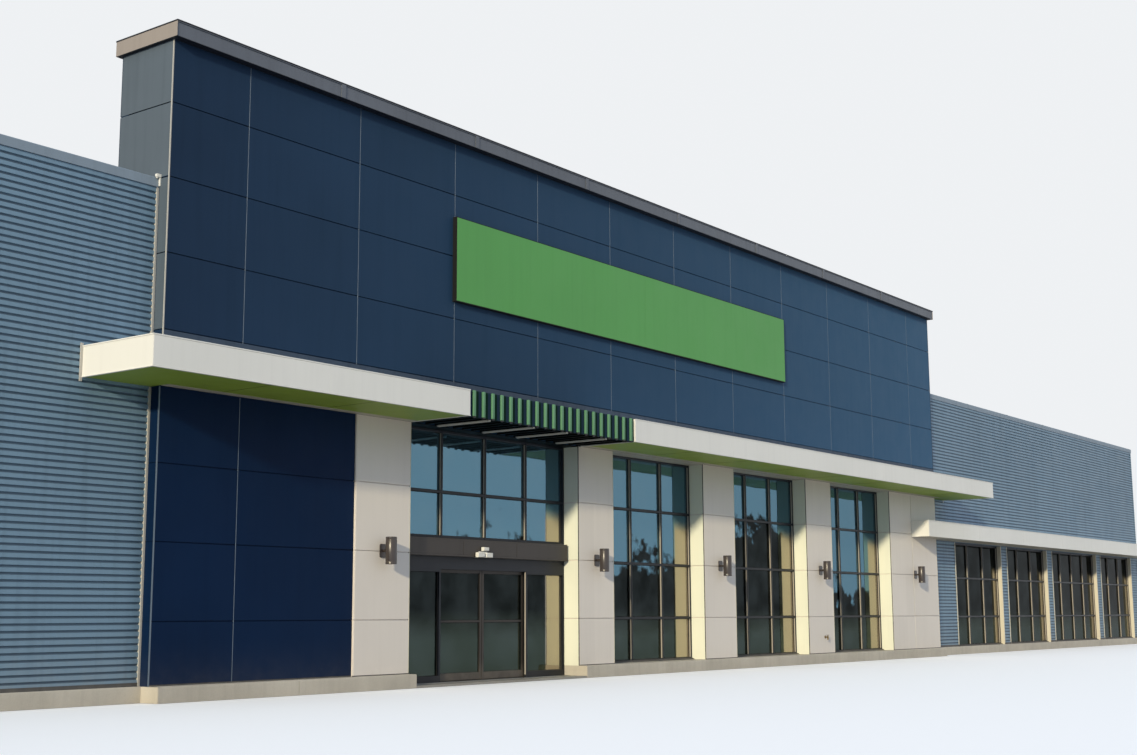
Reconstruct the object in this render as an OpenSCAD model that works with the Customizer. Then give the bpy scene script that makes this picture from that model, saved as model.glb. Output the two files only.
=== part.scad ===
// Supermarket building with a raised navy front, white canopies and two ribbed wings,
// modelled at half its real size, in millimetres. +Z is up and +Y runs into the building.

/* [Front bays, from left to right] */
// Width of the blank navy wall at the left corner
navy_wall_w = 2120; // [1700:10:3000]
// Width of the pier left of the entrance
entrance_pier_w = 700; // [400:10:1000]
// Width of the entrance bay between its piers
entrance_w = 2580; // [2300:10:3200]
// Width of the pier between the entrance and the first shop window
door_pier_w = 630; // [400:10:1000]
// Width of each pier between two shop windows
bay_pier_w = 710; // [400:10:1000]
// Width of each shop window
window_w = 1850; // [1200:10:2600]
// Number of shop windows
window_bays = 3; // [1:1:5]
// Width of the pier at the right corner
corner_pier_w = 1640; // [1000:10:2400]

/* [Raised front] */
// Depth of the front wall and its piers
front_wall_t = 300; // [280:5:400]
// Height of the soffit, where the raised front begins
soffit_z = 2390; // [2200:10:2700]
// Height of the lowest panel joint
first_joint_z = 2836; // [2700:1:3000]
// Height of one row of panels
panel_h = 610; // [500:1:700]
// Number of panel columns between the two end panels
panel_columns = 10; // [6:1:14]
// Width of each end panel
end_panel_w = 800; // [500:10:1200]
// Height of the top of the raised wall
tower_top_z = 5184; // [4900:1:5600]
// Depth of the raised box over the roof
tower_depth = 650; // [500:10:1200]
// Thickness of the side and back walls of the raised box
tower_shell_t = 100; // [60:5:150]
// Height of the coping on the raised box
tower_coping_h = 134; // [80:1:200]
// How far that coping stands out at the front
tower_coping_out = 80; // [20:1:140]
// How far that coping stands out at the sides and back
tower_coping_side = 40; // [10:1:80]
// Height of the drip edge along the top of that coping
drip_h = 16; // [6:1:30]
// How far the drip edge stands out
drip_out = 8; // [2:1:20]
// Width and depth of a panel joint
joint_w = 8; // [4:1:14]
// Height of one row of pier panels
pier_panel_h = 600; // [450:10:800]
// Setback of the blank navy wall from the raised front
navy_setback = 16; // [0:1:40]

/* [Wings and hall] */
// Distance from the raised front to the back of the hall
hall_depth = 18000; // [12000:50:20000]
// Setback of the wings from the raised front
wing_setback = 125; // [60:5:150]
// Thickness of the ribbed walls
wall_t = 125; // [100:5:150]
// Height of the top of the ribbed walls
wall_top_z = 4000; // [3900:10:4300]
// Height of the coping on the ribbed walls
coping_h = 60; // [30:1:100]
// How far that coping stands out on each side
coping_out = 12; // [4:1:30]
// How far that coping hangs down over the wall
coping_skirt = 16; // [6:1:40]
// Gap between two lengths of coping or kerb
piece_gap = 0.8; // [0.2:0.1:0.9]
// Height of one rib of the siding
rib_pitch = 50.8; // [40:0.1:70]
// Depth of the groove between two ribs
rib_depth = 11; // [5:1:18]
// Height of the floor of that groove
rib_floor = 12; // [6:1:18]
// Height of each slope of that groove
rib_slope = 5; // [2:1:8]
// Height of the underside of the roof deck
roof_z = 3650; // [3400:10:3700]
// Thickness of the roof deck
roof_t = 100; // [60:5:140]
// Thickness of the floor slab
floor_t = 20; // [10:1:40]
// Height of the concrete kerb under the walls
kerb_h = 120; // [80:5:160]
// How far the kerb stands out under the raised front
kerb_step = 100; // [40:5:160]
// How far the kerb stands out under the ribbed walls
kerb_out = 25; // [10:1:50]

/* [Wing windows] */
// Number of windows in the right wing
wing_bays = 4; // [2:1:5]
// Width of a window in the right wing
wing_window_w = 1950; // [1400:10:2400]
// Width of the wide window among them
wide_window_w = 2500; // [1400:10:3000]
// Place of the wide window, counted from the left, or 0 for none
wide_window = 3; // [0:1:4]
// Usual width of one pane in these windows
wing_pane_w = 640; // [500:10:900]
// Width of the wall between two windows
wing_pier_w = 290; // [200:5:800]
// Width of the wall between the raised front and the first window
wing_start_w = 1030; // [800:10:1500]
// Width of the wall past the last window
wing_end_w = 490; // [300:10:1500]
// Height of the top of the wing windows
wing_head_z = 1750; // [1650:10:1760]
// Height of the lowest transom in the wing windows
wing_low_rail_z = 585; // [400:5:700]
// Height of the upper transom in the wing windows
wing_high_rail_z = 1195; // [1000:5:1300]

/* [Glazing] */
// Depth from the front to the face of the shop windows
glazing_setback = 190; // [150:5:210]
// Depth from the ribbed wall to the face of the wing windows
wing_glazing_setback = 65; // [20:5:65]
// Depth of the window bars
bar_depth = 25; // [20:1:45]
// Width of the window bars
bar_w = 25; // [16:1:40]
// Thickness of the window glass
glass_t = 10; // [6:1:12]

/* [Entrance] */
// Height of the doorway above the floor
door_h = 1050; // [950:5:1100]
// Height of the bottom of the header box
header_z = 1190; // [1180:5:1240]
// Height of the header box
header_h = 170; // [100:5:200]
// How far the header box stands out from the glazing
header_reach = 70; // [60:5:160]
// Gap between the header box and each pier
header_end_gap = 40; // [5:1:60]
// Height of the transom over the header box
transom_z = 1800; // [1600:10:2000]
// Height of the bottom rail of the sidelights
sidelight_rail = 60; // [40:5:100]
// Gap between the sidelight glass and the door leaves
leaf_clearance = 10; // [5:1:14]
// Thickness of a door leaf
leaf_t = 22; // [18:1:24]
// Width of a door stile
stile_w = 30; // [20:1:50]
// Height of the top rail of a leaf
top_rail_h = 60; // [40:1:80]
// Height of the middle rail of a leaf
mid_rail_h = 20; // [12:1:40]
// Height of the centre of that rail
mid_rail_z = 580; // [450:5:700]
// Height of the bottom rail of a leaf
bottom_rail_h = 70; // [50:1:120]
// Gap between a leaf and the floor, and between a leaf and its track
leaf_gap = 5; // [5:1:8]
// Gap between the two closed leaves
meeting_gap = 5; // [5:1:10]
// Overlap of a leaf behind its sidelight
leaf_lap = 15; // [5:1:20]
// How far a leaf reaches up behind the frame
leaf_rise = 30; // [10:1:35]
// Thickness of the glass in a leaf
leaf_glass_t = 8; // [4:1:12]
// Height of the track over the leaves
track_h = 70; // [60:1:75]
// Thickness of the track walls
track_wall = 6; // [4:1:8]
// Thickness of a hanger plate
hanger_t = 6; // [4:1:8]
// Width of a hanger plate
hanger_w = 40; // [24:1:60]
// Radius of a door roller
roller_r = 15; // [12:1:18]
// Length of a door roller
roller_l = 30; // [26:1:36]
// Running gap between a roller and the track
roller_gap = 0.3; // [0.2:0.05:0.5]

/* [Canopies] */
// How far the main canopy reaches out from the front
canopy_reach = 700; // [500:10:900]
// Height of the main canopy
canopy_h = 238; // [150:1:300]
// How far the main canopy runs past both corners
canopy_over = 625; // [300:5:900]
// Width of the rim around a canopy soffit
canopy_rim = 22; // [12:1:40]
// Depth of that rim
rim_depth = 14; // [8:1:30]
// Thickness of the soffit sheet
soffit_t = 10; // [4:1:12]
// Width of the lip between canopy and fins on both sides
fin_margin = 15; // [0:1:40]
// Number of fins over the entrance
fin_count = 20; // [10:1:30]
// Width of each fin
fin_w = 32; // [30:1:60]
// Depth of the green fin in front of each baffle
fin_depth = 22; // [20:1:80]
// How far the fins hang below the soffit of the canopy
fin_drop = 10; // [0:1:30]
// Thickness of the dark plate behind the fins
fin_plate_t = 12; // [4:1:30]
// Thickness of the deck that carries the baffles
fin_deck_t = 30; // [16:1:60]
// Width of each baffle behind its fin
baffle_w = 36; // [16:1:46]
// Number of light bars under the baffles
light_count = 4; // [1:1:6]
// Length of each light bar
light_l = 620; // [300:10:660]
// Width of each light bar
light_w = 24; // [10:1:34]
// Height of each light bar
light_h = 12; // [6:1:20]
// How far the low canopy reaches out from the front
low_reach = 278; // [200:1:400]
// Height of the bottom of the low canopy
low_z = 1762; // [1762:1:1800]
// Height of the low canopy
low_h = 240; // [150:1:300]
// Length of the low canopy in front of the corner pier
low_overlap = 890; // [300:10:960]

/* [Sign and lamps] */
// Distance of the sign board from the left corner
sign_x = 3385; // [2400:5:4500]
// Height of the bottom of the sign board
sign_z = 3615; // [3300:5:3900]
// Width of the sign board
sign_w = 6495; // [4000:5:8000]
// Height of the sign board
sign_h = 820; // [500:5:1000]
// Thickness of the sign board
sign_t = 50; // [20:1:80]
// Height of the bottom of the wall lamps
lamp_z = 1085; // [900:5:1300]
// Height of a wall lamp
lamp_h = 240; // [150:5:350]
// Radius of a wall lamp
lamp_r = 50; // [30:1:60]
// Gap between a wall lamp and its pier
lamp_gap = 55; // [25:1:80]
// Radius of the stem that carries a lamp
lamp_stem_r = 12; // [6:1:20]
// Width of the wall plate of a lamp
lamp_plate_w = 84; // [50:1:110]
// Height of that plate
lamp_plate_h = 120; // [60:1:150]
// Thickness of that plate
lamp_plate_t = 10; // [4:1:20]

/* [Hidden] */

navy = "#2a3848";
pier_white = "#c9c6c2";
siding = "#7d8b9c";
concrete = "#c4c0b8";
dark = "#1d2023";
white = "#e8e6e2";

// Places along the front, from the left corner
entrance_x = navy_wall_w + entrance_pier_w;
entrance_end_x = entrance_x + entrance_w;
first_window_x = entrance_end_x + door_pier_w;
bay_step = window_w + bay_pier_w;
corner_pier_x = first_window_x + window_bays * bay_step - bay_pier_w;
tower_w = corner_pier_x + corner_pier_w;
panel_w = (tower_w - 2 * end_panel_w) / panel_columns;
function wing_width(i) = i == wide_window - 1 ? wide_window_w : wing_window_w;
function wing_x(i) = i == 0 ? tower_w + wing_start_w : wing_x(i - 1) + wing_width(i - 1) + wing_pier_w;
wing_l = wing_x(wing_bays) - wing_pier_w + wing_end_w - tower_w;
hall_x = -wing_l;
hall_end_x = tower_w + wing_l;
// The origin is under the middle of the whole building
face_y = -(hall_depth + kerb_out - canopy_reach) / 2;

// Heights
roof_top_z = roof_z + roof_t;
door_head_z = floor_t + door_h;
canopy_top_z = soffit_z + canopy_h;
header_top_z = header_z + header_h;
leaf_top_z = door_head_z + leaf_rise;
track_z = leaf_top_z + leaf_gap;

// Places into the building
wing_back_y = wing_setback + wall_t;
rear_y = hall_depth - wall_t;
glass_y = glazing_setback + bar_depth;
leaf_y = glass_y + glass_t + leaf_clearance;
leaf_mid_y = leaf_y + leaf_t / 2;
wing_glazing_y = wing_setback + wing_glazing_setback;

// Parts of the entrance
module_w = entrance_w / 4;
leaf_x = entrance_x + module_w - leaf_lap;
leaf_w = module_w + leaf_lap - meeting_gap / 2;
entrance_mid_x = entrance_x + entrance_w / 2;

// Parts of the fin section
fin_bay_x = entrance_x + fin_margin;
fin_bay_w = entrance_w + 2 * fin_margin;
fin_step = fin_bay_w / fin_count;
function fin_x(i) = fin_bay_x + (i + 0.5) * fin_step;

// Places coordinates that are counted from the front's left corner into the part's frame
module on_site() {
    translate([-tower_w / 2, face_y, 0]) children();
}

// Mirrors a shape about the middle of the entrance
module door_mirror() {
    translate([entrance_mid_x, 0, 0]) mirror([1, 0, 0]) translate([-entrance_mid_x, 0, 0]) children();
}

// Mirrors a shape about the middle of the front
module front_mirror() {
    translate([tower_w / 2, 0, 0]) mirror([1, 0, 0]) translate([-tower_w / 2, 0, 0]) children();
}

// A box between two corners
module block(low, high) {
    translate(low) cube(high - low);
}

// Carries a profile drawn as depth and height along X
module along_x(x, length) {
    translate([x, 0, 0]) rotate([90, 0, 90]) linear_extrude(height = length) children();
}

// Outline of a ribbed wall from height low to high, with its crests on the line y = 0
function groove(z) = [
    [0, z - rib_floor / 2 - rib_slope], [rib_depth, z - rib_floor / 2],
    [rib_depth, z + rib_floor / 2], [0, z + rib_floor / 2 + rib_slope]
];
module rib_profile(low, high) {
    first = ceil((low + rib_floor) / rib_pitch);
    last = floor((high - rib_floor) / rib_pitch) - 1;
    grooves = [for (k = [first : last]) each groove((k + 0.5) * rib_pitch)];
    polygon(concat([[0, low]], grooves, [[0, high], [wall_t, high], [wall_t, low]]));
}
module ribbed_front(x, length, low, high) {
    translate([0, wing_setback, 0]) along_x(x, length) rib_profile(low, high);
}
module ribbed_side() {
    length = rear_y - wing_back_y;
    translate([hall_x, rear_y, 0]) rotate([90, 0, 0]) linear_extrude(height = length)
        rib_profile(kerb_h, wall_top_z);
}

// Cap that sits over the top of a ribbed wall
module coping_profile() {
    top = wall_top_z + coping_h;
    polygon([
        [-coping_out, wall_top_z - coping_skirt], [-coping_out, top - coping_out / 2], [-coping_out / 2, top],
        [wall_t + coping_out / 2, top], [wall_t + coping_out, top - coping_out / 2],
        [wall_t + coping_out, wall_top_z - coping_skirt], [wall_t, wall_top_z - coping_skirt],
        [wall_t, wall_top_z], [0, wall_top_z], [0, wall_top_z - coping_skirt]
    ]);
}

// A sheet of bars with panes cut through it; levels holds the heights of its rows
module window_grid(x, y, width, columns, levels) {
    rows = len(levels) - 1;
    difference() {
        block([x, y, levels[0]], [x + width, y + bar_depth, levels[rows]]);
        for (i = [0 : columns - 1])
            for (j = [0 : rows - 1]) {
                left = i * width / columns + (i == 0 ? bar_w : bar_w / 2);
                right = (i + 1) * width / columns - (i == columns - 1 ? bar_w : bar_w / 2);
                low = levels[j] + (j == 0 ? bar_w : bar_w / 2);
                high = levels[j + 1] - (j == rows - 1 ? bar_w : bar_w / 2);
                block([x + left, y - bar_depth, low], [x + right, y + 2 * bar_depth, high]);
            }
    }
}

// Grooves round a pier or wall at each row of its panels
module row_grooves(x, y, width, depth) {
    for (z = [pier_panel_h : pier_panel_h : soffit_z - joint_w])
        difference() {
            block([x - joint_w, y - joint_w, z - joint_w / 2],
                  [x + width + joint_w, y + depth, z + joint_w / 2]);
            block([x + joint_w, y + joint_w, z - joint_w], [x + width - joint_w, y + 2 * depth, z + joint_w]);
        }
}

// A clad pier from the kerb to the soffit
module pier(x, width) {
    difference() {
        block([x, 0, kerb_h], [x + width, front_wall_t, soffit_z]);
        row_grooves(x, 0, width, glazing_setback);
    }
}

// Ground works
module floor_outline() {
    polygon([
        [hall_x + wall_t, wing_back_y], [0, wing_back_y], [0, front_wall_t], [entrance_x, front_wall_t],
        [entrance_x, -kerb_step], [entrance_end_x, -kerb_step], [entrance_end_x, front_wall_t],
        [tower_w, front_wall_t], [tower_w, wing_back_y], [hall_end_x - wall_t, wing_back_y],
        [hall_end_x - wall_t, rear_y], [hall_x + wall_t, rear_y]
    ]);
}
module floor_slab() {
    color("#9b9a96") on_site() linear_extrude(height = floor_t) floor_outline();
}
module tower_kerb() {
    color(concrete) on_site() {
        block([0, -kerb_step, 0], [entrance_x, front_wall_t, kerb_h]);
        block([entrance_end_x, -kerb_step, 0], [tower_w, front_wall_t, kerb_h]);
    }
}
module wing_kerb() {
    color(concrete) on_site() {
        block([hall_x - kerb_out, wing_setback - kerb_out, 0], [0, wing_back_y, kerb_h]);
        block([tower_w, wing_setback - kerb_out, 0], [hall_end_x + kerb_out, wing_back_y, kerb_h]);
    }
}
module side_kerb() {
    block([hall_x - kerb_out, wing_back_y, 0], [hall_x + wall_t, rear_y - piece_gap, kerb_h]);
}
module rear_kerb() {
    color(concrete) on_site() {
        side_kerb();
        front_mirror() side_kerb();
        block([hall_x - kerb_out, rear_y, 0], [hall_end_x + kerb_out, hall_depth + kerb_out, kerb_h]);
    }
}

// Ribbed walls of the wings and the hall
module left_wing_wall() {
    color(siding) on_site() ribbed_front(hall_x, wing_l, kerb_h, wall_top_z);
}
module right_wing_header() {
    color(siding) on_site() ribbed_front(tower_w, wing_l, wing_head_z, wall_top_z);
}
module right_wing_piers() {
    color(siding) on_site() {
        ribbed_front(tower_w, wing_start_w, kerb_h, wing_head_z);
        for (i = [1 : wing_bays - 1])
            ribbed_front(wing_x(i) - wing_pier_w, wing_pier_w, kerb_h, wing_head_z);
        ribbed_front(hall_end_x - wing_end_w, wing_end_w, kerb_h, wing_head_z);
    }
}
module left_side_wall() {
    color(siding) on_site() ribbed_side();
}
module right_side_wall() {
    color(siding) on_site() front_mirror() ribbed_side();
}
module back_wall() {
    color(siding) on_site() translate([0, hall_depth, 0]) mirror([0, 1, 0])
        along_x(hall_x, hall_end_x - hall_x) rib_profile(kerb_h, wall_top_z);
}
module roof_deck() {
    color("#8f9194") on_site() translate([0, 0, roof_z]) linear_extrude(height = roof_t)
        polygon([
            [hall_x + wall_t, wing_back_y], [0, wing_back_y], [0, front_wall_t],
            [tower_w, front_wall_t], [tower_w, wing_back_y], [hall_end_x - wall_t, wing_back_y],
            [hall_end_x - wall_t, rear_y], [hall_x + wall_t, rear_y]
        ]);
}

// Copings of the ribbed walls; their skirts are notched where the side walls end between two depths
module side_wall_top(low_y, high_y) {
    block([hall_x, low_y, wall_top_z - 2 * coping_skirt], [hall_x + wall_t, high_y, wall_top_z]);
}
module notched(low_y, high_y) {
    difference() {
        children();
        side_wall_top(low_y, high_y);
        front_mirror() side_wall_top(low_y, high_y);
    }
}
module front_coping(x, length) {
    notched(wing_back_y, wing_back_y + 2 * coping_out)
        translate([0, wing_setback, 0]) along_x(x, length) coping_profile();
}
module left_wing_coping() {
    color("#8d97a3") on_site() front_coping(hall_x - coping_out, wing_l + coping_out);
}
module right_wing_coping() {
    color("#8d97a3") on_site() front_coping(tower_w, wing_l + coping_out);
}
module side_coping() {
    low = wing_back_y + coping_out + piece_gap;
    high = rear_y - coping_out - piece_gap;
    translate([hall_x, high, 0]) rotate([90, 0, 0]) linear_extrude(height = high - low) coping_profile();
}
module rear_coping() {
    color("#8d97a3") on_site() {
        side_coping();
        front_mirror() side_coping();
        notched(rear_y - 2 * coping_out, rear_y) translate([0, hall_depth, 0]) mirror([0, 1, 0])
            along_x(hall_x - coping_out, hall_end_x - hall_x + 2 * coping_out) coping_profile();
    }
}

// Raised front: a wall of navy panels, its box over the roof and the coping
module tower_face() {
    color(navy) on_site() difference() {
        block([0, 0, soffit_z], [tower_w, front_wall_t, tower_top_z]);
        for (i = [0 : panel_columns])
            block([end_panel_w + i * panel_w - joint_w / 2, -joint_w, canopy_top_z],
                  [end_panel_w + i * panel_w + joint_w / 2, joint_w, tower_top_z + joint_w]);
        for (z = [first_joint_z : panel_h : tower_top_z - joint_w]) {
            block([-joint_w, -joint_w, z - joint_w / 2], [tower_w + joint_w, joint_w, z + joint_w / 2]);
            for (x = [0, tower_w])
                block([x - joint_w, -joint_w, z - joint_w / 2],
                      [x + joint_w, front_wall_t + joint_w, z + joint_w / 2]);
        }
    }
}
module tower_side() {
    difference() {
        block([0, front_wall_t, roof_top_z], [tower_shell_t, tower_depth - tower_shell_t, tower_top_z]);
        for (z = [first_joint_z : panel_h : tower_top_z - joint_w])
            if (z > roof_top_z + joint_w)
                block([-joint_w, 0, z - joint_w / 2], [joint_w, tower_depth, z + joint_w / 2]);
    }
}
module tower_sides() {
    color(navy) on_site() {
        tower_side();
        front_mirror() tower_side();
    }
}
module tower_back() {
    color(navy) on_site() difference() {
        block([0, tower_depth - tower_shell_t, roof_top_z], [tower_w, tower_depth, tower_top_z]);
        for (i = [0 : panel_columns])
            block([end_panel_w + i * panel_w - joint_w / 2, tower_depth - joint_w, roof_top_z - joint_w],
                  [end_panel_w + i * panel_w + joint_w / 2, tower_depth + joint_w, tower_top_z + joint_w]);
        for (z = [first_joint_z : panel_h : tower_top_z - joint_w])
            if (z > roof_top_z + joint_w)
                block([-joint_w, tower_depth - joint_w, z - joint_w / 2],
                      [tower_w + joint_w, tower_depth + joint_w, z + joint_w / 2]);
    }
}
module tower_coping() {
    top = tower_top_z + tower_coping_h;
    back = tower_depth + tower_coping_side;
    color("#5c6069") on_site() {
        along_x(-tower_coping_side, tower_w + 2 * tower_coping_side)
            polygon([
                [-tower_coping_out, tower_top_z], [-tower_coping_out, top - drip_h],
                [-tower_coping_out - drip_out, top - drip_h], [-tower_coping_out - drip_out, top],
                [back, top - drip_h], [back, tower_top_z]
            ]);
    }
}

// Lower front: the blank navy wall and the clad piers
module navy_wall() {
    color(navy) on_site() difference() {
        block([0, navy_setback, kerb_h], [navy_wall_w, front_wall_t, soffit_z]);
        row_grooves(0, navy_setback, navy_wall_w, wing_setback);
        block([end_panel_w - joint_w / 2, 0, kerb_h - joint_w],
              [end_panel_w + joint_w / 2, navy_setback + joint_w, soffit_z + joint_w]);
    }
}
module entrance_piers() {
    color(pier_white) on_site() {
        pier(navy_wall_w, entrance_pier_w);
        pier(entrance_end_x, door_pier_w);
    }
}
module bay_piers() {
    color(pier_white) on_site()
        for (i = [1 : 1 : window_bays - 1]) pier(first_window_x + i * bay_step - bay_pier_w, bay_pier_w);
}
module corner_pier() {
    x = tower_w - low_overlap;
    color(pier_white) on_site() difference() {
        pier(corner_pier_x, corner_pier_w);
        block([x - joint_w / 2, -joint_w, kerb_h - joint_w], [x + joint_w / 2, joint_w, soffit_z + joint_w]);
    }
}

// Shop windows
window_levels = concat([kerb_h], [for (z = [pier_panel_h : pier_panel_h : soffit_z - 300]) z], [soffit_z]);
module window_frames() {
    color(dark) on_site()
        for (i = [0 : window_bays - 1])
            window_grid(first_window_x + i * bay_step, glazing_setback, window_w, 3, window_levels);
}
module window_glass() {
    color("#5f7488") on_site()
        for (i = [0 : window_bays - 1]) {
            x = first_window_x + i * bay_step;
            block([x, glass_y, kerb_h], [x + window_w, glass_y + glass_t, soffit_z]);
        }
}
wing_levels = [kerb_h, wing_low_rail_z, wing_high_rail_z, wing_head_z];
module wing_window_frames() {
    color(dark) on_site()
        for (i = [0 : wing_bays - 1]) {
            panes = round(wing_width(i) / wing_pane_w);
            window_grid(wing_x(i), wing_glazing_y, wing_width(i), panes, wing_levels);
        }
}
module wing_glass() {
    y = wing_glazing_y + bar_depth;
    color("#5f7488") on_site()
        for (i = [0 : wing_bays - 1])
            block([wing_x(i), y, kerb_h], [wing_x(i) + wing_width(i), y + glass_t, wing_head_z]);
}

// Entrance: glazing over and beside the doorway, header box, track and two sliding leaves
module entrance_frame() {
    color(dark) on_site() {
        block([entrance_x, glazing_setback, door_head_z], [entrance_end_x, glass_y, header_top_z]);
        window_grid(entrance_x, glazing_setback, entrance_w, 4, [header_top_z, transom_z, soffit_z]);
    }
}
module sidelight_frame() {
    difference() {
        block([entrance_x, glazing_setback, floor_t], [entrance_x + module_w, glass_y, door_head_z]);
        block([entrance_x + bar_w, 0, floor_t + sidelight_rail],
              [entrance_x + module_w - bar_w, front_wall_t, door_head_z - bar_w]);
    }
}
module sidelight_frames() {
    color(dark) on_site() {
        sidelight_frame();
        door_mirror() sidelight_frame();
    }
}
module sidelight_glass() {
    block([entrance_x, glass_y, floor_t], [entrance_x + module_w, glass_y + glass_t, door_head_z]);
}
module entrance_glass() {
    color("#5f7488") on_site() {
        sidelight_glass();
        door_mirror() sidelight_glass();
        block([entrance_x, glass_y, header_top_z], [entrance_end_x, glass_y + glass_t, soffit_z]);
    }
}
module entrance_header() {
    color("#33373c") on_site()
        block([entrance_x + header_end_gap, glazing_setback - header_reach, header_z],
              [entrance_end_x - header_end_gap, glazing_setback, header_top_z]);
}
module door_track() {
    slot = hanger_t / 2 + leaf_gap;
    top = track_z + track_h;
    color("#44484c") on_site() along_x(entrance_x, entrance_w) polygon([
        [glass_y, track_z], [leaf_mid_y - slot, track_z], [leaf_mid_y - slot, track_z + track_wall],
        [glass_y + track_wall, track_z + track_wall], [glass_y + track_wall, top - track_wall],
        [front_wall_t - track_wall, top - track_wall], [front_wall_t - track_wall, track_z + track_wall],
        [leaf_mid_y + slot, track_z + track_wall], [leaf_mid_y + slot, track_z],
        [front_wall_t, track_z], [front_wall_t, top], [glass_y, top]
    ]);
}
function pane_rows() = [
    [floor_t + leaf_gap + bottom_rail_h, mid_rail_z - mid_rail_h / 2],
    [mid_rail_z + mid_rail_h / 2, leaf_top_z - top_rail_h]
];
module leaf_panes(y, depth) {
    for (row = pane_rows())
        block([leaf_x + stile_w, y, row[0]], [leaf_x + leaf_w - stile_w, y + depth, row[1]]);
}
module hanger(x) {
    roller_z = track_z + track_wall + roller_gap + roller_r;
    block([x - hanger_w / 2, leaf_mid_y - hanger_t / 2, leaf_top_z],
          [x + hanger_w / 2, leaf_mid_y + hanger_t / 2, roller_z]);
    translate([x, leaf_mid_y + roller_l / 2, roller_z]) rotate([90, 0, 0])
        cylinder(r = roller_r, h = roller_l, $fn = 48);
}
module door_leaf() {
    difference() {
        block([leaf_x, leaf_y, floor_t + leaf_gap], [leaf_x + leaf_w, leaf_y + leaf_t, leaf_top_z]);
        leaf_panes(leaf_y - leaf_t, 3 * leaf_t);
    }
    for (share = [0.2, 0.8]) hanger(leaf_x + share * leaf_w);
}
module left_door() {
    color("#3a3d40") on_site() door_leaf();
}
module right_door() {
    color("#3a3d40") on_site() door_mirror() door_leaf();
}
module left_door_glass() {
    color("#5f7488") on_site() leaf_panes(leaf_mid_y - leaf_glass_t / 2, leaf_glass_t);
}
module right_door_glass() {
    color("#5f7488") on_site() door_mirror() leaf_panes(leaf_mid_y - leaf_glass_t / 2, leaf_glass_t);
}

// Main canopy: white boxes with a rim, and a soffit sheet set up into each rim
module left_plan(inset) {
    polygon([
        [-canopy_over + inset, -canopy_reach + inset], [fin_bay_x - inset, -canopy_reach + inset],
        [fin_bay_x - inset, 0], [0, 0], [0, wing_setback], [-canopy_over + inset, wing_setback]
    ]);
}
module right_plan(inset) {
    polygon([
        [fin_bay_x + fin_bay_w + inset, -canopy_reach + inset],
        [tower_w + canopy_over - inset, -canopy_reach + inset],
        [tower_w + canopy_over - inset, wing_setback], [tower_w, wing_setback], [tower_w, 0],
        [fin_bay_x + fin_bay_w + inset, 0]
    ]);
}
module canopy_left() {
    color(white) on_site() translate([0, 0, soffit_z]) difference() {
        linear_extrude(height = canopy_h) left_plan(0);
        translate([0, 0, -rim_depth]) linear_extrude(height = 2 * rim_depth) left_plan(canopy_rim);
    }
}
module canopy_right() {
    color(white) on_site() translate([0, 0, soffit_z]) difference() {
        linear_extrude(height = canopy_h) right_plan(0);
        translate([0, 0, -rim_depth]) linear_extrude(height = 2 * rim_depth) right_plan(canopy_rim);
    }
}
module canopy_soffits() {
    color("#7f9a4a") on_site() translate([0, 0, soffit_z + rim_depth - soffit_t])
        linear_extrude(height = soffit_t) {
            left_plan(canopy_rim);
            right_plan(canopy_rim);
        }
}

// Fin section over the entrance: a comb of dark baffles closed by a plate, with green fins in front
module fin_deck() {
    under = canopy_top_z - fin_deck_t;
    teeth = [for (i = [0 : fin_count - 1]) each [
        [fin_x(i) - baffle_w / 2, under], [fin_x(i) - baffle_w / 2, soffit_z],
        [fin_x(i) + baffle_w / 2, soffit_z], [fin_x(i) + baffle_w / 2, under]
    ]];
    color("#17191b") on_site() {
        rotate([90, 0, 0]) linear_extrude(height = canopy_reach - fin_depth)
            polygon(concat([[fin_bay_x, canopy_top_z], [fin_bay_x, under]], teeth,
                           [[fin_bay_x + fin_bay_w, under], [fin_bay_x + fin_bay_w, canopy_top_z]]));
        block([fin_bay_x, -canopy_reach + fin_depth, soffit_z],
              [fin_bay_x + fin_bay_w, -canopy_reach + fin_depth + fin_plate_t, canopy_top_z]);
    }
}
module canopy_fins() {
    color("#5fa85a") on_site()
        for (i = [0 : fin_count - 1])
            block([fin_x(i) - fin_w / 2, -canopy_reach, soffit_z - fin_drop],
                  [fin_x(i) + fin_w / 2, -canopy_reach + fin_depth, canopy_top_z]);
}
module light_bars() {
    middle_y = -(canopy_reach - fin_depth) / 2;
    color("#f4f4f0") on_site()
        for (k = [0 : light_count - 1]) {
            i = round((k + 0.75) * fin_count / (light_count + 0.5)) - 1;
            block([fin_x(i) - light_w / 2, middle_y - light_l / 2, soffit_z - light_h],
                  [fin_x(i) + light_w / 2, middle_y + light_l / 2, soffit_z]);
        }
}

// Low canopy along the right wing
module low_plan(inset) {
    polygon([
        [tower_w - low_overlap + inset, -low_reach + inset], [hall_end_x - inset, -low_reach + inset],
        [hall_end_x - inset, wing_setback], [tower_w, wing_setback], [tower_w, 0],
        [tower_w - low_overlap + inset, 0]
    ]);
}
module low_canopy() {
    color(white) on_site() translate([0, 0, low_z]) difference() {
        linear_extrude(height = low_h) low_plan(0);
        translate([0, 0, -rim_depth]) linear_extrude(height = 2 * rim_depth) low_plan(canopy_rim);
    }
}
module low_soffit() {
    color("#b9bcbc") on_site() translate([0, 0, low_z + rim_depth - soffit_t])
        linear_extrude(height = soffit_t) low_plan(canopy_rim);
}

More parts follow.
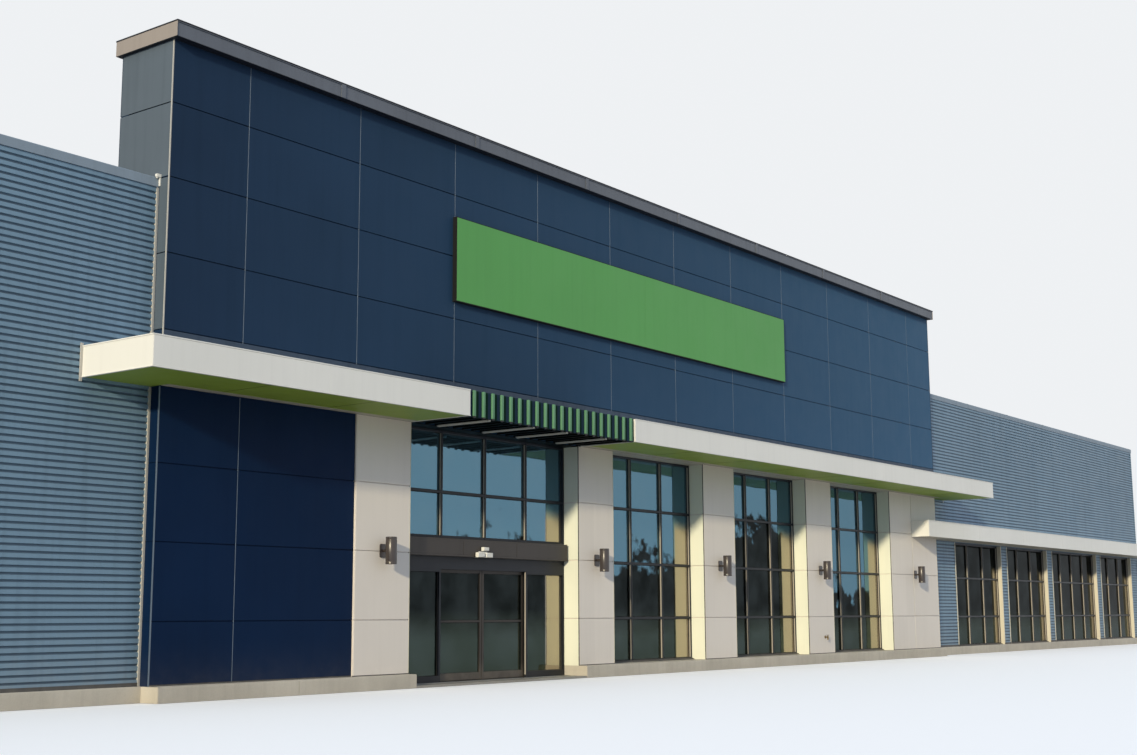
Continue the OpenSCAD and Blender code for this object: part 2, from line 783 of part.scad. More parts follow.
// Wall lamps on the middle of each pier, and the bare sign board
lamp_xs = concat(
    [navy_wall_w + entrance_pier_w / 2, entrance_end_x + door_pier_w / 2],
    [for (i = [1 : 1 : window_bays - 1]) first_window_x + i * bay_step - bay_pier_w / 2],
    [corner_pier_x + corner_pier_w / 2]
);
module wall_lamp(x) {
    middle_z = lamp_z + lamp_h / 2;
    middle_y = -lamp_gap - lamp_r;
    translate([x, middle_y, lamp_z]) cylinder(r = lamp_r, h = lamp_h, $fn = 48);
    translate([x, 0, middle_z]) rotate([90, 0, 0]) cylinder(r = lamp_stem_r, h = -middle_y, $fn = 32);
    block([x - lamp_plate_w / 2, -lamp_plate_t, middle_z - lamp_plate_h / 2],
          [x + lamp_plate_w / 2, 0, middle_z + lamp_plate_h / 2]);
}
module wall_lamps() {
    color("#4a3f36") on_site() for (x = lamp_xs) wall_lamp(x);
}
module sign_board() {
    color("#53915a") on_site() block([sign_x, -sign_t, sign_z], [sign_x + sign_w, 0, sign_z + sign_h]);
}

floor_slab();
tower_kerb();
wing_kerb();
rear_kerb();
left_wing_wall();
right_wing_header();
right_wing_piers();
left_side_wall();
right_side_wall();
back_wall();
roof_deck();
tower_face();
tower_sides();
tower_back();
tower_coping();
left_wing_coping();
right_wing_coping();
rear_coping();
navy_wall();
entrance_piers();
bay_piers();
corner_pier();
window_frames();
window_glass();
wing_window_frames();
wing_glass();
entrance_frame();
sidelight_frames();
entrance_glass();
entrance_header();
door_track();
left_door();
right_door();
left_door_glass();
right_door_glass();
canopy_left();
canopy_right();
canopy_soffits();
fin_deck();
canopy_fins();
light_bars();
low_canopy();
low_soffit();
wall_lamps();
sign_board();
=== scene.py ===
"""Half-scale supermarket building: cladding, glazing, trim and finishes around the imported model.

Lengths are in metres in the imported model's frame: X runs along the front, Y into the hall, Z up.
A shape is worked out as whole arrays, as a grid of two parameters or a profile carried on a path.
"""

import math

import bmesh
import bpy
import numpy as np
from bpy.props import FloatProperty, FloatVectorProperty, PointerProperty
from bpy.types import Operator, Panel, PropertyGroup
from mathutils import Matrix, Vector


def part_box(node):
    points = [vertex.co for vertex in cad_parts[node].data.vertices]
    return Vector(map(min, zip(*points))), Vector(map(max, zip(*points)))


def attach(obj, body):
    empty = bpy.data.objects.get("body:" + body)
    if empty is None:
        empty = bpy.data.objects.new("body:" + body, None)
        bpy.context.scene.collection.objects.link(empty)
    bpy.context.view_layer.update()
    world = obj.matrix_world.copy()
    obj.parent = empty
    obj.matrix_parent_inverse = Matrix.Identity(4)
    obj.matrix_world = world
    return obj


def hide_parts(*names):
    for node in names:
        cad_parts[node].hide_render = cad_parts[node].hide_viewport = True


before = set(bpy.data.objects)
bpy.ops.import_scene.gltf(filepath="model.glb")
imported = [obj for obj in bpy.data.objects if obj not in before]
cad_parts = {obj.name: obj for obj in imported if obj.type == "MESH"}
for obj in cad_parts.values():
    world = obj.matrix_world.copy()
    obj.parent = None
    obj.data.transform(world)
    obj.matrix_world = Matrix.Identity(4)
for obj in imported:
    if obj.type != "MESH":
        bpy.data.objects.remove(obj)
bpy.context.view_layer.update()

bl_info = {
    "name": "Supermarket Building",
    "version": (1, 0, 0),
    "blender": (4, 5, 0),
    "location": "3D View > Sidebar > Building",
    "description": "Adds cladding, glazing, trim and finishes to a half-scale supermarket building",
    "category": "Object",
}

EAST, NORTH, UP = np.eye(3)
GROOVE = 0.008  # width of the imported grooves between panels
SINK = 0.002  # how far an added plate runs into what carries it
PLAY = 0.004  # gap where a piece stops short of another
TRIM = 0.006  # width of a pier's corner trims, and depth of the angles and joint strips
SHARP = math.radians(35)  # edges that turn by more than this stay sharp
ARC_STEPS = 3  # flats in the quarter circle of a rounded edge or corner
PANE_CELLS = 8  # cells along each side of a pane
SHEET = 1.83  # length of a fascia sheet of the canopy
LOW_SHEET = 1.905  # the same on the low canopy
SOFFIT_SHEET = 1.22  # width of a sheet of the soffit
BAND = 2.6  # length of the flashing's pieces over the canopy
SIGN_SHEET = 3.2  # length of a sheet of the sign's face
TWIN_LIGHT_X, TWIN_LIGHT_Z = -3.335, 1.213  # middle of the emergency light over the doorway
TAP_X, TAP_Z = 3.554, 0.335  # middle of the hose tap on its pier
FIXTURE_Y = (-8.572, -8.548)  # front and back of the small white fixture


def shade(red, green, blue):
    """An sRGB colour from 0 to 255 as the linear one that a shader takes."""
    share = np.array([red, green, blue]) / 255
    return tuple(np.where(share <= 0.04045, share / 12.92, ((share + 0.055) / 1.055) ** 2.4))


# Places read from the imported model

def edges(node, axis):
    """Distinct coordinates of a node's corners along one axis, lowest first."""
    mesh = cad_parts[node].data
    corners = np.empty(3 * len(mesh.vertices), dtype=np.float32)
    mesh.vertices.foreach_get("co", corners)
    return np.unique(np.round(corners.reshape(-1, 3)[:, axis].astype(float), 4))


def box(node):
    """Lowest and highest corner of a node as arrays."""
    return np.array(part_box(node))


def grooves(node, axis):
    """Middles of the grooves between a node's panels along one axis, without those at its ends."""
    places = edges(node, axis)
    middles = ((places[:-1] + places[1:]) / 2)[np.isclose(np.diff(places), GROOVE, atol=1e-4)]
    return middles[(middles > places[0] + GROOVE) & (middles < places[-1] - GROOVE)]


def fields(node, axis, start=None, end=None):
    """Where the flat fields between a node's grooves start and end, cut to start and end."""
    places, middles = edges(node, axis), grooves(node, axis)
    first = places[0] if start is None else start
    last = places[-1] if end is None else end
    middles = middles[(middles > first) & (middles < last)]
    return np.append(first, middles + GROOVE / 2), np.append(middles - GROOVE / 2, last)


def pairs(places):
    """Consecutive pairs of coordinates as starts and ends."""
    return places[0::2], places[1::2]


def spaced(start, end, step):
    """Middles of the joints that split a length into equal pieces of about one step."""
    return np.linspace(start, end, max(1, round(abs(end - start) / step)) + 1)[1:-1]


def lengths(start, end, step, gap):
    """Starts and ends of equal pieces of about one step, with a gap between them."""
    middles = spaced(start, end, step)
    return np.append(start, middles + gap / 2), np.append(middles - gap / 2, end)


def at(x, y, z):
    """Points from their coordinates, each one number or an array."""
    return np.stack(np.broadcast_arrays(np.atleast_1d(x), y, z), axis=-1).astype(float)


def tiles(columns, rows, depth, axis=1):
    """Corners of a grid of tiles: each column with each row, between two depths along axis."""
    corners = []
    for beside, above, deep in zip(columns, rows, depth):
        beside, above = (places.ravel() for places in np.meshgrid(beside, above))
        corners.append(at(beside, deep, above) if axis == 1 else at(deep, beside, above))
    return corners


def lights(frame_node, glass_node):
    """Corners of the clear openings between a frame's bars, one row each.

    The sorted edges of the bars fall in pairs, and an opening runs from one bar to the next. The
    gaps that lie outside the sheets of glass are walls and are left out.
    """
    glass_starts, glass_ends = pairs(edges(glass_node, 0))
    columns = edges(frame_node, 0)[1:-1].reshape(-1, 2)
    inside = (columns[:, :1] > glass_starts) & (columns[:, 1:] < glass_ends)
    rows = edges(frame_node, 2)[1:-1].reshape(-1, 2)
    return tiles(columns[inside.any(axis=1)].T, rows.T, box(frame_node)[:, 1])


# Shapes as arrays: each gives its points and a list of arrays of faces

def skin(rings, looped=False):
    """Closed shells from rings of points, shaped (copies, rings, points around, 3).

    Each ring is joined to the next by four-sided faces. The first and last ring are filled, or
    joined to each other where the shell is looped.
    """
    index = np.arange(rings[..., 0].size).reshape(rings.shape[:3])
    here = index if looped else index[:, :-1]
    there = np.roll(index, -1, axis=1) if looped else index[:, 1:]
    sides = np.stack([here, np.roll(here, -1, axis=2), np.roll(there, -1, axis=2), there], axis=-1)
    faces = [sides.reshape(-1, 4)]
    if not looped:
        faces += [index[:, 0, ::-1], index[:, -1]]
    return rings.reshape(-1, 3), faces


def plates(lo, hi, edge=0.002, front=(1, -1)):
    """Plates with rounded front edges.

    A plate is a stack of rectangles from its back to its face. The last ones shrink by
    edge * (1 - cos a) and come forward by edge * sin a as a turns through a quarter circle.
    One more rectangle just inside keeps the shading of the face even. front is the axis that the
    plate faces, and which way.
    """
    axis, way = front
    turn = np.linspace(0, math.pi / 2, ARC_STEPS + 1)
    inset = np.concatenate([[0], edge * (1 - np.cos(turn)), [1.3 * edge]])
    drop = edge * (1 - np.sin(np.append(turn, math.pi / 2)))
    back, face = (hi, lo) if way < 0 else (lo, hi)
    rings = np.empty((len(lo), len(inset), 4, 3))
    rings[..., axis] = np.hstack([back[:, [axis]], face[:, [axis]] - way * drop])[..., None]
    across, along = [k for k in range(3) if k != axis]
    for k, far in ((across, (0, 1, 1, 0)), (along, (0, 0, 1, 1))):
        sides = lo[:, [k]] + inset, hi[:, [k]] - inset
        rings[..., k] = np.stack([sides[pick] for pick in far], axis=-1)
    return skin(rings)


def slabs(x, y, z, edge=0.002, front=(1, -1)):
    """Plates from their lowest and highest place along each axis, numbers or arrays."""
    return plates(at(x[0], y[0], z[0]), at(x[1], y[1], z[1]), edge, front)


def cladding(columns, rows, face, axis=1, way=-1):
    """Folded panels that stand proud of a face: each column with each row."""
    sizes = bpy.context.scene.building.sizes
    depth = sorted((face - way * SINK, face + way * sizes.proud))
    return plates(*tiles(columns, rows, depth, axis), sizes.panel_edge, (axis, way))


def panes(lo, hi, bow):
    """Sheets of glass that face -Y and swell forward between their edges.

    The front grid stands bow * (1 - u * u) * (1 - v * v) ahead of a flat sheet, with u and v from
    -1 to 1 across it. The back grid is flat, and a rim joins the two.
    """
    u = np.linspace(-1, 1, PANE_CELLS + 1)
    middle, half = (lo + hi) / 2, (hi - lo) / 2
    points = np.empty((len(lo), 2, u.size, u.size, 3))
    points[..., 0] = (middle[:, [0]] + half[:, [0]] * u)[:, None, None, :]
    points[..., 2] = (middle[:, [2]] + half[:, [2]] * u)[:, None, :, None]
    points[:, 0, :, :, 1] = lo[:, 1, None, None] - bow * np.outer(1 - u * u, 1 - u * u)
    points[:, 1, :, :, 1] = hi[:, 1, None, None]
    index = np.arange(points[..., 0].size).reshape(points.shape[:-1])
    cell = [index[:, :, :-1, :-1], index[:, :, :-1, 1:], index[:, :, 1:, 1:], index[:, :, 1:, :-1]]
    border = np.concatenate([index[:, :, 0, :-1], index[:, :, :-1, -1],
                             index[:, :, -1, :0:-1], index[:, :, :0:-1, 0]], axis=-1)
    ahead = np.roll(border, -1, axis=-1)
    rim = np.stack([border[:, 0], ahead[:, 0], ahead[:, 1], border[:, 1]], axis=-1)
    return points.reshape(-1, 3), [np.stack(cell, axis=-1).reshape(-1, 4), rim.reshape(-1, 4)]


def bars(profile, start, end, right, up=UP):
    """A profile carried straight from each start to each end.

    Its first coordinate runs along right and its second along up.
    """
    ends = np.stack([np.atleast_2d(start), np.atleast_2d(end)], axis=1)
    offsets = np.outer(profile[:, 0], right) + np.outer(profile[:, 1], up)
    return skin(ends[:, :, None, :] + offsets)


def beams(profile, x, y, z):
    """A profile carried along X from x[0] to x[1]. Its first coordinate runs north."""
    return bars(profile, at(x[0], y, z), at(x[1], y, z), NORTH)


def posts(profile, x, y, bottom, top, right=EAST, up=NORTH):
    """A profile carried upright at each x. Its coordinates run along right and up."""
    return bars(profile, at(x, y, bottom), at(x, y, top), right, up)


def rails(profile, path, level, looped=False):
    """A profile carried along a level path of (x, y) and mitred at its corners.

    The first coordinate runs to the right of travel, stretched at a corner by the mitre
    (a + b) / (1 + a . b) of the sides before and after it. The second runs up.
    """
    path = np.column_stack([path, np.full(len(path), level)])
    ahead = np.roll(path, -1, axis=0) - path
    ahead /= np.linalg.norm(ahead, axis=1, keepdims=True)
    if not looped:
        ahead[-1] = ahead[-2]
    before = np.roll(ahead, 1, axis=0)
    if not looped:
        before[0] = ahead[0]
    side, side_before = np.cross(ahead, UP), np.cross(before, UP)
    mitre = (side + side_before) / (1 + (side * side_before).sum(axis=1, keepdims=True))
    rings = path[:, None] + profile[:, 0, None] * mitre[:, None] + profile[:, 1, None] * UP
    return skin(rings[None], looped)


def hoops(profile, lo, hi):
    """A profile carried round upright rectangles that face -Y, mitred at the corners.

    Its first coordinate runs outwards from the rectangle and its second along Y.
    """
    rings = np.empty((len(lo), 4, len(profile), 3))
    for k, far in ((0, (0, 1, 1, 0)), (2, (0, 0, 1, 1))):
        corners = np.stack([(lo, hi)[pick][:, k] for pick in far], axis=1)
        outwards = np.array([(-1, 1)[pick] for pick in far])
        rings[..., k] = corners[..., None] + outwards[:, None] * profile[:, 0]
    rings[..., 1] = lo[:, 1, None, None] + profile[:, 1]
    return skin(rings, looped=True)


def turned(profile, centres, axis=2, steps=20):
    """A profile of (radius, distance along axis) turned about a line through each centre."""
    profile = np.asarray(profile, dtype=float)
    turn = np.arange(steps) * 2 * math.pi / steps
    across, along = [k for k in range(3) if k != axis]
    rings = np.tile(centres[:, None, None, :], (1, len(profile), steps, 1))
    rings[..., across] += profile[:, :1] * np.cos(turn)
    rings[..., along] += profile[:, :1] * np.sin(turn)
    rings[..., axis] += profile[:, 1:]
    return skin(rings)


def rounded(width, depth, radius):
    """A rectangle about (0, 0) with a quarter circle at each corner.

    One more point on the flat at each end of a quarter circle keeps the shading of the flat even.
    """
    turn = np.concatenate([[0], np.linspace(0, math.pi / 2, ARC_STEPS + 1), [math.pi / 2]])
    quarter = np.arange(4)[:, None] * math.pi / 2 + turn
    slide = 0.25 * radius * np.concatenate([[-1], np.zeros(ARC_STEPS + 1), [1]])
    middle_x = np.array([1, -1, -1, 1])[:, None] * (width / 2 - radius)
    middle_y = np.array([1, 1, -1, -1])[:, None] * (depth / 2 - radius)
    points = [middle_x + radius * np.cos(quarter) - slide * np.sin(quarter),
              middle_y + radius * np.sin(quarter) + slide * np.cos(quarter)]
    return np.stack(points, axis=-1).reshape(-1, 2)


def strip(x0, y0, x1, y1):
    """A plain rectangle as a profile, from its lowest to its highest corner."""
    return np.array([(x0, y0), (x1, y0), (x1, y1), (x0, y1)], dtype=float)


def angle(leg, thickness):
    """An L-shaped profile with its outer corner at (0, 0) and its legs along both axes."""
    return np.array([(0, 0), (leg, 0), (leg, thickness), (thickness, thickness),
                     (thickness, leg), (0, leg)], dtype=float)


def piece(name, finish_name, shapes, body="building", stands_for=()):
    """Joins shapes into one mesh that rides on a body, with its finish."""
    offsets = np.cumsum([0] + [len(points) for points, _ in shapes])
    arrays = [array + offset for (_, faces), offset in zip(shapes, offsets) for array in faces]
    mesh = bpy.data.meshes.new(name)
    mesh.from_pydata(np.concatenate([points for points, _ in shapes]).tolist(), [],
                     [face for array in arrays for face in array.tolist()])
    shell = bmesh.new()
    shell.from_mesh(mesh)
    bmesh.ops.recalc_face_normals(shell, faces=shell.faces)
    shell.to_mesh(mesh)
    shell.free()
    mesh.shade_smooth()
    mesh.set_sharp_from_angle(angle=SHARP)
    mesh.materials.append(finish(finish_name))
    made = bpy.data.objects.new(name, mesh)
    bpy.context.scene.collection.objects.link(made)
    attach(made, body)
    if stands_for:
        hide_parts(*stands_for)


# Shader effects that several finishes share

class Graph:
    """A node tree with short calls that place a node and wire its inputs."""

    def __init__(self, tree):
        self.tree = tree

    def add(self, kind, inputs=None, **settings):
        """Places a node. inputs gives values or outputs by socket name or number."""
        node = self.tree.nodes.new(kind)
        for name, value in settings.items():
            setattr(node, name, value)
        for name, value in (inputs or {}).items():
            if isinstance(value, bpy.types.NodeSocket):
                self.tree.links.new(value, node.inputs[name])
            else:
                node.inputs[name].default_value = value
        return node

    def math(self, operation, first, second=0.5, clamp=False):
        """The result of one sum."""
        return self.add("ShaderNodeMath", {0: first, 1: second},
                        operation=operation, use_clamp=clamp).outputs[0]

    def plus(self, first, second):
        """first + second."""
        return self.math("ADD", first, second)

    def less(self, first, second):
        """first - second."""
        return self.math("SUBTRACT", first, second)

    def times(self, first, second):
        """first * second."""
        return self.math("MULTIPLY", first, second)

    def away(self, value, middle):
        """How far a value is from a middle, either way."""
        return self.math("ABSOLUTE", self.less(value, middle))

    def mix(self, share, first, second, blend="MIX"):
        """Two colours mixed by share."""
        return self.add("ShaderNodeMix", {0: share, 6: first, 7: second},
                        data_type="RGBA", blend_type=blend).outputs[2]

    def toned(self, colour, tone):
        """A colour times a tone about 1."""
        grey = self.add("ShaderNodeCombineColor", {0: tone, 1: tone, 2: tone}).outputs[0]
        return self.mix(1.0, colour, grey, "MULTIPLY")

    def remap(self, value, low, high, start=0.0, end=1.0):
        """A value taken from one range to another and held within it."""
        return self.add("ShaderNodeMapRange",
                        {0: value, 1: low, 2: high, 3: start, 4: end}).outputs[0]

    def places(self):
        """The object's own coordinates."""
        return self.add("ShaderNodeTexCoord").outputs["Object"]

    def axis(self, name):
        """One of the object's own coordinates."""
        return self.add("ShaderNodeSeparateXYZ", {0: self.places()}).outputs[name]

    def noise(self, scale, detail=2.0, stretch=None, roughness=0.5):
        """Fractal noise over the object's own coordinates, from 0 to 1."""
        places = self.places()
        if stretch:
            places = self.add("ShaderNodeMapping", {"Vector": places, "Scale": stretch}).outputs[0]
        return self.add("ShaderNodeTexNoise", {"Vector": places, "Scale": scale, "Detail": detail,
                                               "Roughness": roughness}).outputs[0]

    def swing(self, reach, *noise, roughness=0.5):
        """Fractal noise taken to a range from -reach to reach."""
        return self.remap(self.noise(*noise, roughness=roughness), 0.3, 0.7, -reach, reach)

    def bump(self, height, strength, distance):
        """A normal from a height over the surface."""
        return self.add("ShaderNodeBump", {"Strength": strength, "Distance": distance,
                                           "Height": height}).outputs[0]

    def effect(self, name, **inputs):
        """Places a shared effect, built when it is first asked for, and sets its inputs."""
        tree = bpy.data.node_groups.get(f"building {name}") or effect_tree(name, *EFFECTS[name])
        return self.add("ShaderNodeGroup", {key.replace("_", " "): value for key, value in
                                            inputs.items()}, node_tree=tree).outputs


def effect_tree(name, build, inputs):
    """A node group with named inputs. build takes its graph and the inputs, and gives the outputs
    by name. Colour is a colour, and each other socket a number."""
    tree = bpy.data.node_groups.new(f"building {name}", "ShaderNodeTree")

    def new_socket(label, way):
        """A socket on the way in or out of the group."""
        kind = "NodeSocketColor" if label == "Colour" else "NodeSocketFloat"
        return tree.interface.new_socket(label, in_out=way, socket_type=kind)

    for label, default in inputs.items():
        new_socket(label, "INPUT").default_value = default
    results = build(Graph(tree), tree.nodes.new("NodeGroupInput").outputs)
    for label in results:
        new_socket(label, "OUTPUT")
    ending = tree.nodes.new("NodeGroupOutput")
    for label, output in results.items():
        tree.links.new(output, ending.inputs[label])
    return tree


def weathering(graph, given):
    """Rain streaks down a wall, broad uneven patches, and dust that thins out with height."""
    streak = graph.remap(graph.noise(1.0, 4.0, (16, 16, 0.7), 0.6), 0.48, 0.78)
    tone = graph.plus(graph.times(graph.swing(1.0, 0.8, 3.0), given["Patches"]), 1.0)
    darker = graph.times(streak, given["Streaks"])
    toned = graph.toned(given["Colour"], graph.less(tone, darker))
    low = graph.remap(graph.axis("Z"), 0.08, given["Dust Top"], 1.0, 0.0)
    speckle = graph.remap(graph.noise(9.0, 5.0, roughness=0.65), 0.3, 0.7, 0.35, 1.0)
    dust = graph.math("MULTIPLY", graph.times(graph.times(low, low), speckle), given["Dust"], True)
    return {"Colour": graph.mix(dust, toned, opaque((176, 166, 150))),
            "Wear": graph.plus(dust, darker)}


def sheet_metal(graph, given):
    """Height of a thin sheet: slow waves from its fixings and the fine peel of its paint."""
    waves = graph.times(graph.noise(given["Wave Scale"], 1.0), given["Waves"])
    return {"Height": graph.plus(waves, graph.times(graph.noise(260.0, 1.0), given["Peel"]))}


def panel_tone(graph, given):
    """A small difference of tone from panel to panel, one random number for each cell."""
    cells = [graph.math("FLOOR", graph.math("DIVIDE", graph.less(graph.axis(axis), given[start]),
                                            given[step]))
             for axis, start, step in (("X", "Start X", "Width"), ("Z", "Start Z", "Height"))]
    cell = graph.add("ShaderNodeCombineXYZ", {0: cells[0], 2: cells[1]}).outputs[0]
    chance = graph.add("ShaderNodeTexWhiteNoise", {"Vector": cell},
                       noise_dimensions="3D").outputs["Value"]
    return {"Tone": graph.plus(graph.times(graph.less(chance, 0.5), given["Spread"]), 1.0)}


def cast_surface(graph, given):
    """Cast or trowelled concrete: cloudy tone, fine aggregate and small pores."""
    cloud = graph.swing(1.0, 2.2, 6.0, roughness=0.65)
    grain = graph.swing(1.0, 90.0, 4.0, roughness=0.7)
    pore_map = graph.add("ShaderNodeTexVoronoi", {"Vector": graph.places(), "Scale": 70.0})
    pores = graph.times(graph.remap(pore_map.outputs[0], 0.05, 0.16, 1.0, 0.0),
                        graph.remap(graph.noise(14.0), 0.5, 0.62))
    tone = graph.plus(graph.plus(graph.times(cloud, given["Clouds"]), 1.0),
                      graph.times(grain, 0.05))
    tone = graph.less(tone, graph.times(pores, given["Pores"]))
    return {"Colour": graph.toned(given["Colour"], tone), "Height": graph.less(grain, pores)}


GREY = (0.5, 0.5, 0.5, 1.0)
EFFECTS = {
    "weathering": (weathering, {"Colour": GREY, "Streaks": 0.1, "Patches": 0.05, "Dust": 0.1,
                                "Dust Top": 0.6}),
    "sheet metal": (sheet_metal, {"Waves": 1.0, "Wave Scale": 2.0, "Peel": 0.2}),
    "panel tone": (panel_tone, {"Width": 1.0, "Height": 1.0, "Start X": 0.0, "Start Z": 0.0,
                                "Spread": 0.05}),
    "cast surface": (cast_surface, {"Colour": GREY, "Clouds": 0.12, "Pores": 0.3}),
}


# Finishes

def opaque(colour):
    """A colour with full cover, from the name of a setting or in sRGB from 0 to 255."""
    if isinstance(colour, str):
        return tuple(getattr(bpy.context.scene.building.colours, colour)) + (1.0,)
    return shade(*colour) + (1.0,)


def new_finish(name, **constants):
    """A material, its graph and its shader, with plain values on the shader's own sockets."""
    material = bpy.data.materials.new(name)
    material.use_nodes = True
    shader = material.node_tree.nodes["Principled BSDF"]
    for socket, value in constants.items():
        shader.inputs[socket.replace("_", " ")].default_value = value
    return material, Graph(material.node_tree), shader


def wire(graph, shader, **outputs):
    """Joins outputs to the shader's sockets of the same name."""
    for socket, output in outputs.items():
        graph.tree.links.new(output, shader.inputs[socket.replace("_", " ")])


def painted(name, colour, overlays=(), roughness=0.45, specular=0.3, metallic=0.0, streaks=0.08,
            patches=0.04, dust=0.1, dust_top=0.6, waves=1.0, wave_scale=2.0, peel=0.15,
            spread=0.0, cell=(1.0, 1.0), start=(0.0, 0.0)):
    """Painted sheet metal: panel tone, weathering, waves and peel, rougher where it is worn.

    An overlay is a function that gives its mask from the finish's graph, and its colour.
    """
    material, graph, shader = new_finish(name, Specular_IOR_Level=specular, Metallic=metallic)
    base = opaque(colour)
    if spread:
        base = graph.toned(base, graph.effect("panel tone", Width=cell[0], Height=cell[1],
                                              Start_X=start[0], Start_Z=start[1],
                                              Spread=spread)["Tone"])
    worn = graph.effect("weathering", Colour=base, Streaks=streaks, Patches=patches, Dust=dust,
                        Dust_Top=dust_top)
    height = graph.effect("sheet metal", Waves=waves, Wave_Scale=wave_scale, Peel=peel)["Height"]
    uneven = graph.remap(graph.noise(5.0, 3.0), 0.3, 0.7, roughness - 0.04, roughness + 0.04)
    top = worn["Colour"]
    for mask, over in overlays:
        top = graph.mix(mask(graph), top, opaque(over))
    wire(graph, shader, Base_Color=top, Normal=graph.bump(height, 0.5, 0.004),
         Roughness=graph.math("ADD", graph.times(worn["Wear"], 0.6), uneven, True))
    return material


def concrete(name, colour, clouds, pores, roughness):
    """Concrete of one colour."""
    material, graph, shader = new_finish(name, Specular_IOR_Level=0.3)
    cast = graph.effect("cast surface", Colour=opaque(colour), Clouds=clouds, Pores=pores)
    worn = graph.effect("weathering", Colour=cast["Colour"], Streaks=0.12, Patches=0.08, Dust=0.2,
                        Dust_Top=0.2)
    rough = graph.remap(graph.noise(12.0, 4.0), 0.3, 0.7, roughness - 0.08, roughness + 0.08)
    wire(graph, shader, Base_Color=worn["Colour"], Roughness=rough,
         Normal=graph.bump(cast["Height"], 0.6, 0.0015))
    return material


def glazing(name):
    """Coated glass with a painted reflection: pale blue sky above an uneven dark skyline, and faint
    waves.

    The painted skyline's height over the base changes along the front, and two noises roughen it:
    it is highest at the middle window and over the whole height of the wings, and lowest at the
    last shop window. A lighter green band at the foot and a soft noise over the tint are painted
    reflection too. A lighter strip by the east side of each opening is a painted reflection of the
    sunlit jamb, up to where the shade of the canopy begins.
    """
    material, graph, shader = new_finish(name, Metallic=0.85, Roughness=0.03, Alpha=0.86,
                                         IOR=1.5, Specular_Tint=GREY)
    along, up = graph.axis("X"), graph.axis("Z")
    height = graph.plus(up, graph.swing(0.3, 1.3, 3.0, (1, 1, 1.6)))
    height = graph.plus(height, graph.swing(0.1, 9.0, 6.0))
    hump_x, hump_rise = 2.2, 0.45
    height = graph.less(height, graph.remap(graph.away(along, hump_x), 0.6, 1.2, hump_rise, 0.0))
    for step_x, step_w, drop in ((7.0, 0.4, -1.2), (3.6, 0.6, 0.4)):
        height = graph.plus(height, graph.remap(along, step_x, step_x + step_w, 0.0, drop))
    # Painted reflection: a lighter green band at the foot of the glass
    foot = graph.remap(up, 0.40, 0.70, 1.0, 0.0)
    lower = graph.mix(foot, opaque("glass_skyline_reflection"), opaque((62, 72, 64)))
    skyline, blur = 1.26, 0.10
    tint = graph.mix(graph.remap(height, skyline, skyline + blur), lower, opaque("glass_sky_reflection"))
    reflection_haze = graph.remap(graph.noise(3.0, 4.0), 0.35, 0.75, 0.0, 0.08)
    tint = graph.mix(reflection_haze, tint, opaque((150, 165, 170)))
    # Painted reflection of the sunlit east jambs, below the canopy's shade
    for ends, width, shade_z in ((edges("window_glass", 0)[1::2], 0.30, 1.60),
                                 (edges("entrance_glass", 0)[-1:], 0.29, 1.60),
                                 (edges("wing_glass", 0)[1::2], 0.17, 1.28)):
        below = graph.remap(up, shade_z, shade_z + 0.12, 1.0, 0.0)
        for end in ends:
            jamb_reflection = graph.remap(graph.away(along, float(end - width / 2)),
                                width / 2 - 0.01, width / 2 + 0.01, 1.0, 0.0)
            tint = graph.mix(graph.times(jamb_reflection, below), tint, opaque((184, 175, 155)))
    ripple = graph.noise(3.5, 1.0, (1, 1, 0.6))
    wire(graph, shader, Base_Color=tint, Normal=graph.bump(ripple, 0.25, 0.004))
    return material


TOWER_X, TOWER_Z = grooves("tower_face", 0), grooves("tower_face", 2)
RIBS = edges("left_wing_wall", 2)
FINS = edges("canopy_fins", 0)
FIN_PITCH = FINS[2] - FINS[0]
# The dark green beside each fin is painted shade
FIN_SHADE = 0.056  # width of the dark green beside each fin
FIN_CAP = 0.016  # height of the black cap at the lower end of a fin


def painted_sky_sheen(graph):
    """Painted sky reflection: a lighter blue that rises along the raised front towards the east."""
    return graph.remap(graph.axis("X"), -7.3, 8.5, 0.0, 0.6)


def rib_groove_shade(graph):
    """Painted shade in the grooves between the ribs of the siding."""
    turns = graph.math("DIVIDE", graph.less(graph.axis("Z"), RIBS[1:5].mean()), RIBS[5] - RIBS[1])
    return graph.remap(graph.math("PINGPONG", turns, 0.5), 0.10, 0.17, 0.72, 0.0)


def baffle_fronts(graph):
    """The fronts of the baffles."""
    front = box("fin_deck")[0][1]
    return graph.remap(graph.axis("Y"), front + 0.005, front + 0.03, 1.0, 0.0)


def painted_fin_shade(graph):
    """The part of the baffles' fronts just east of each fin, painted dark green as the fin's shade.
    """
    turns = graph.math("DIVIDE", graph.less(graph.axis("X"), FINS[1]), FIN_PITCH)
    beside = graph.math("LESS_THAN", graph.math("FRACT", turns), FIN_SHADE / FIN_PITCH)
    return graph.times(baffle_fronts(graph), beside)


def fin_caps(graph):
    """The lower ends of the fins."""
    return graph.math("LESS_THAN", graph.axis("Z"), box("canopy_fins")[0][2] + FIN_CAP)


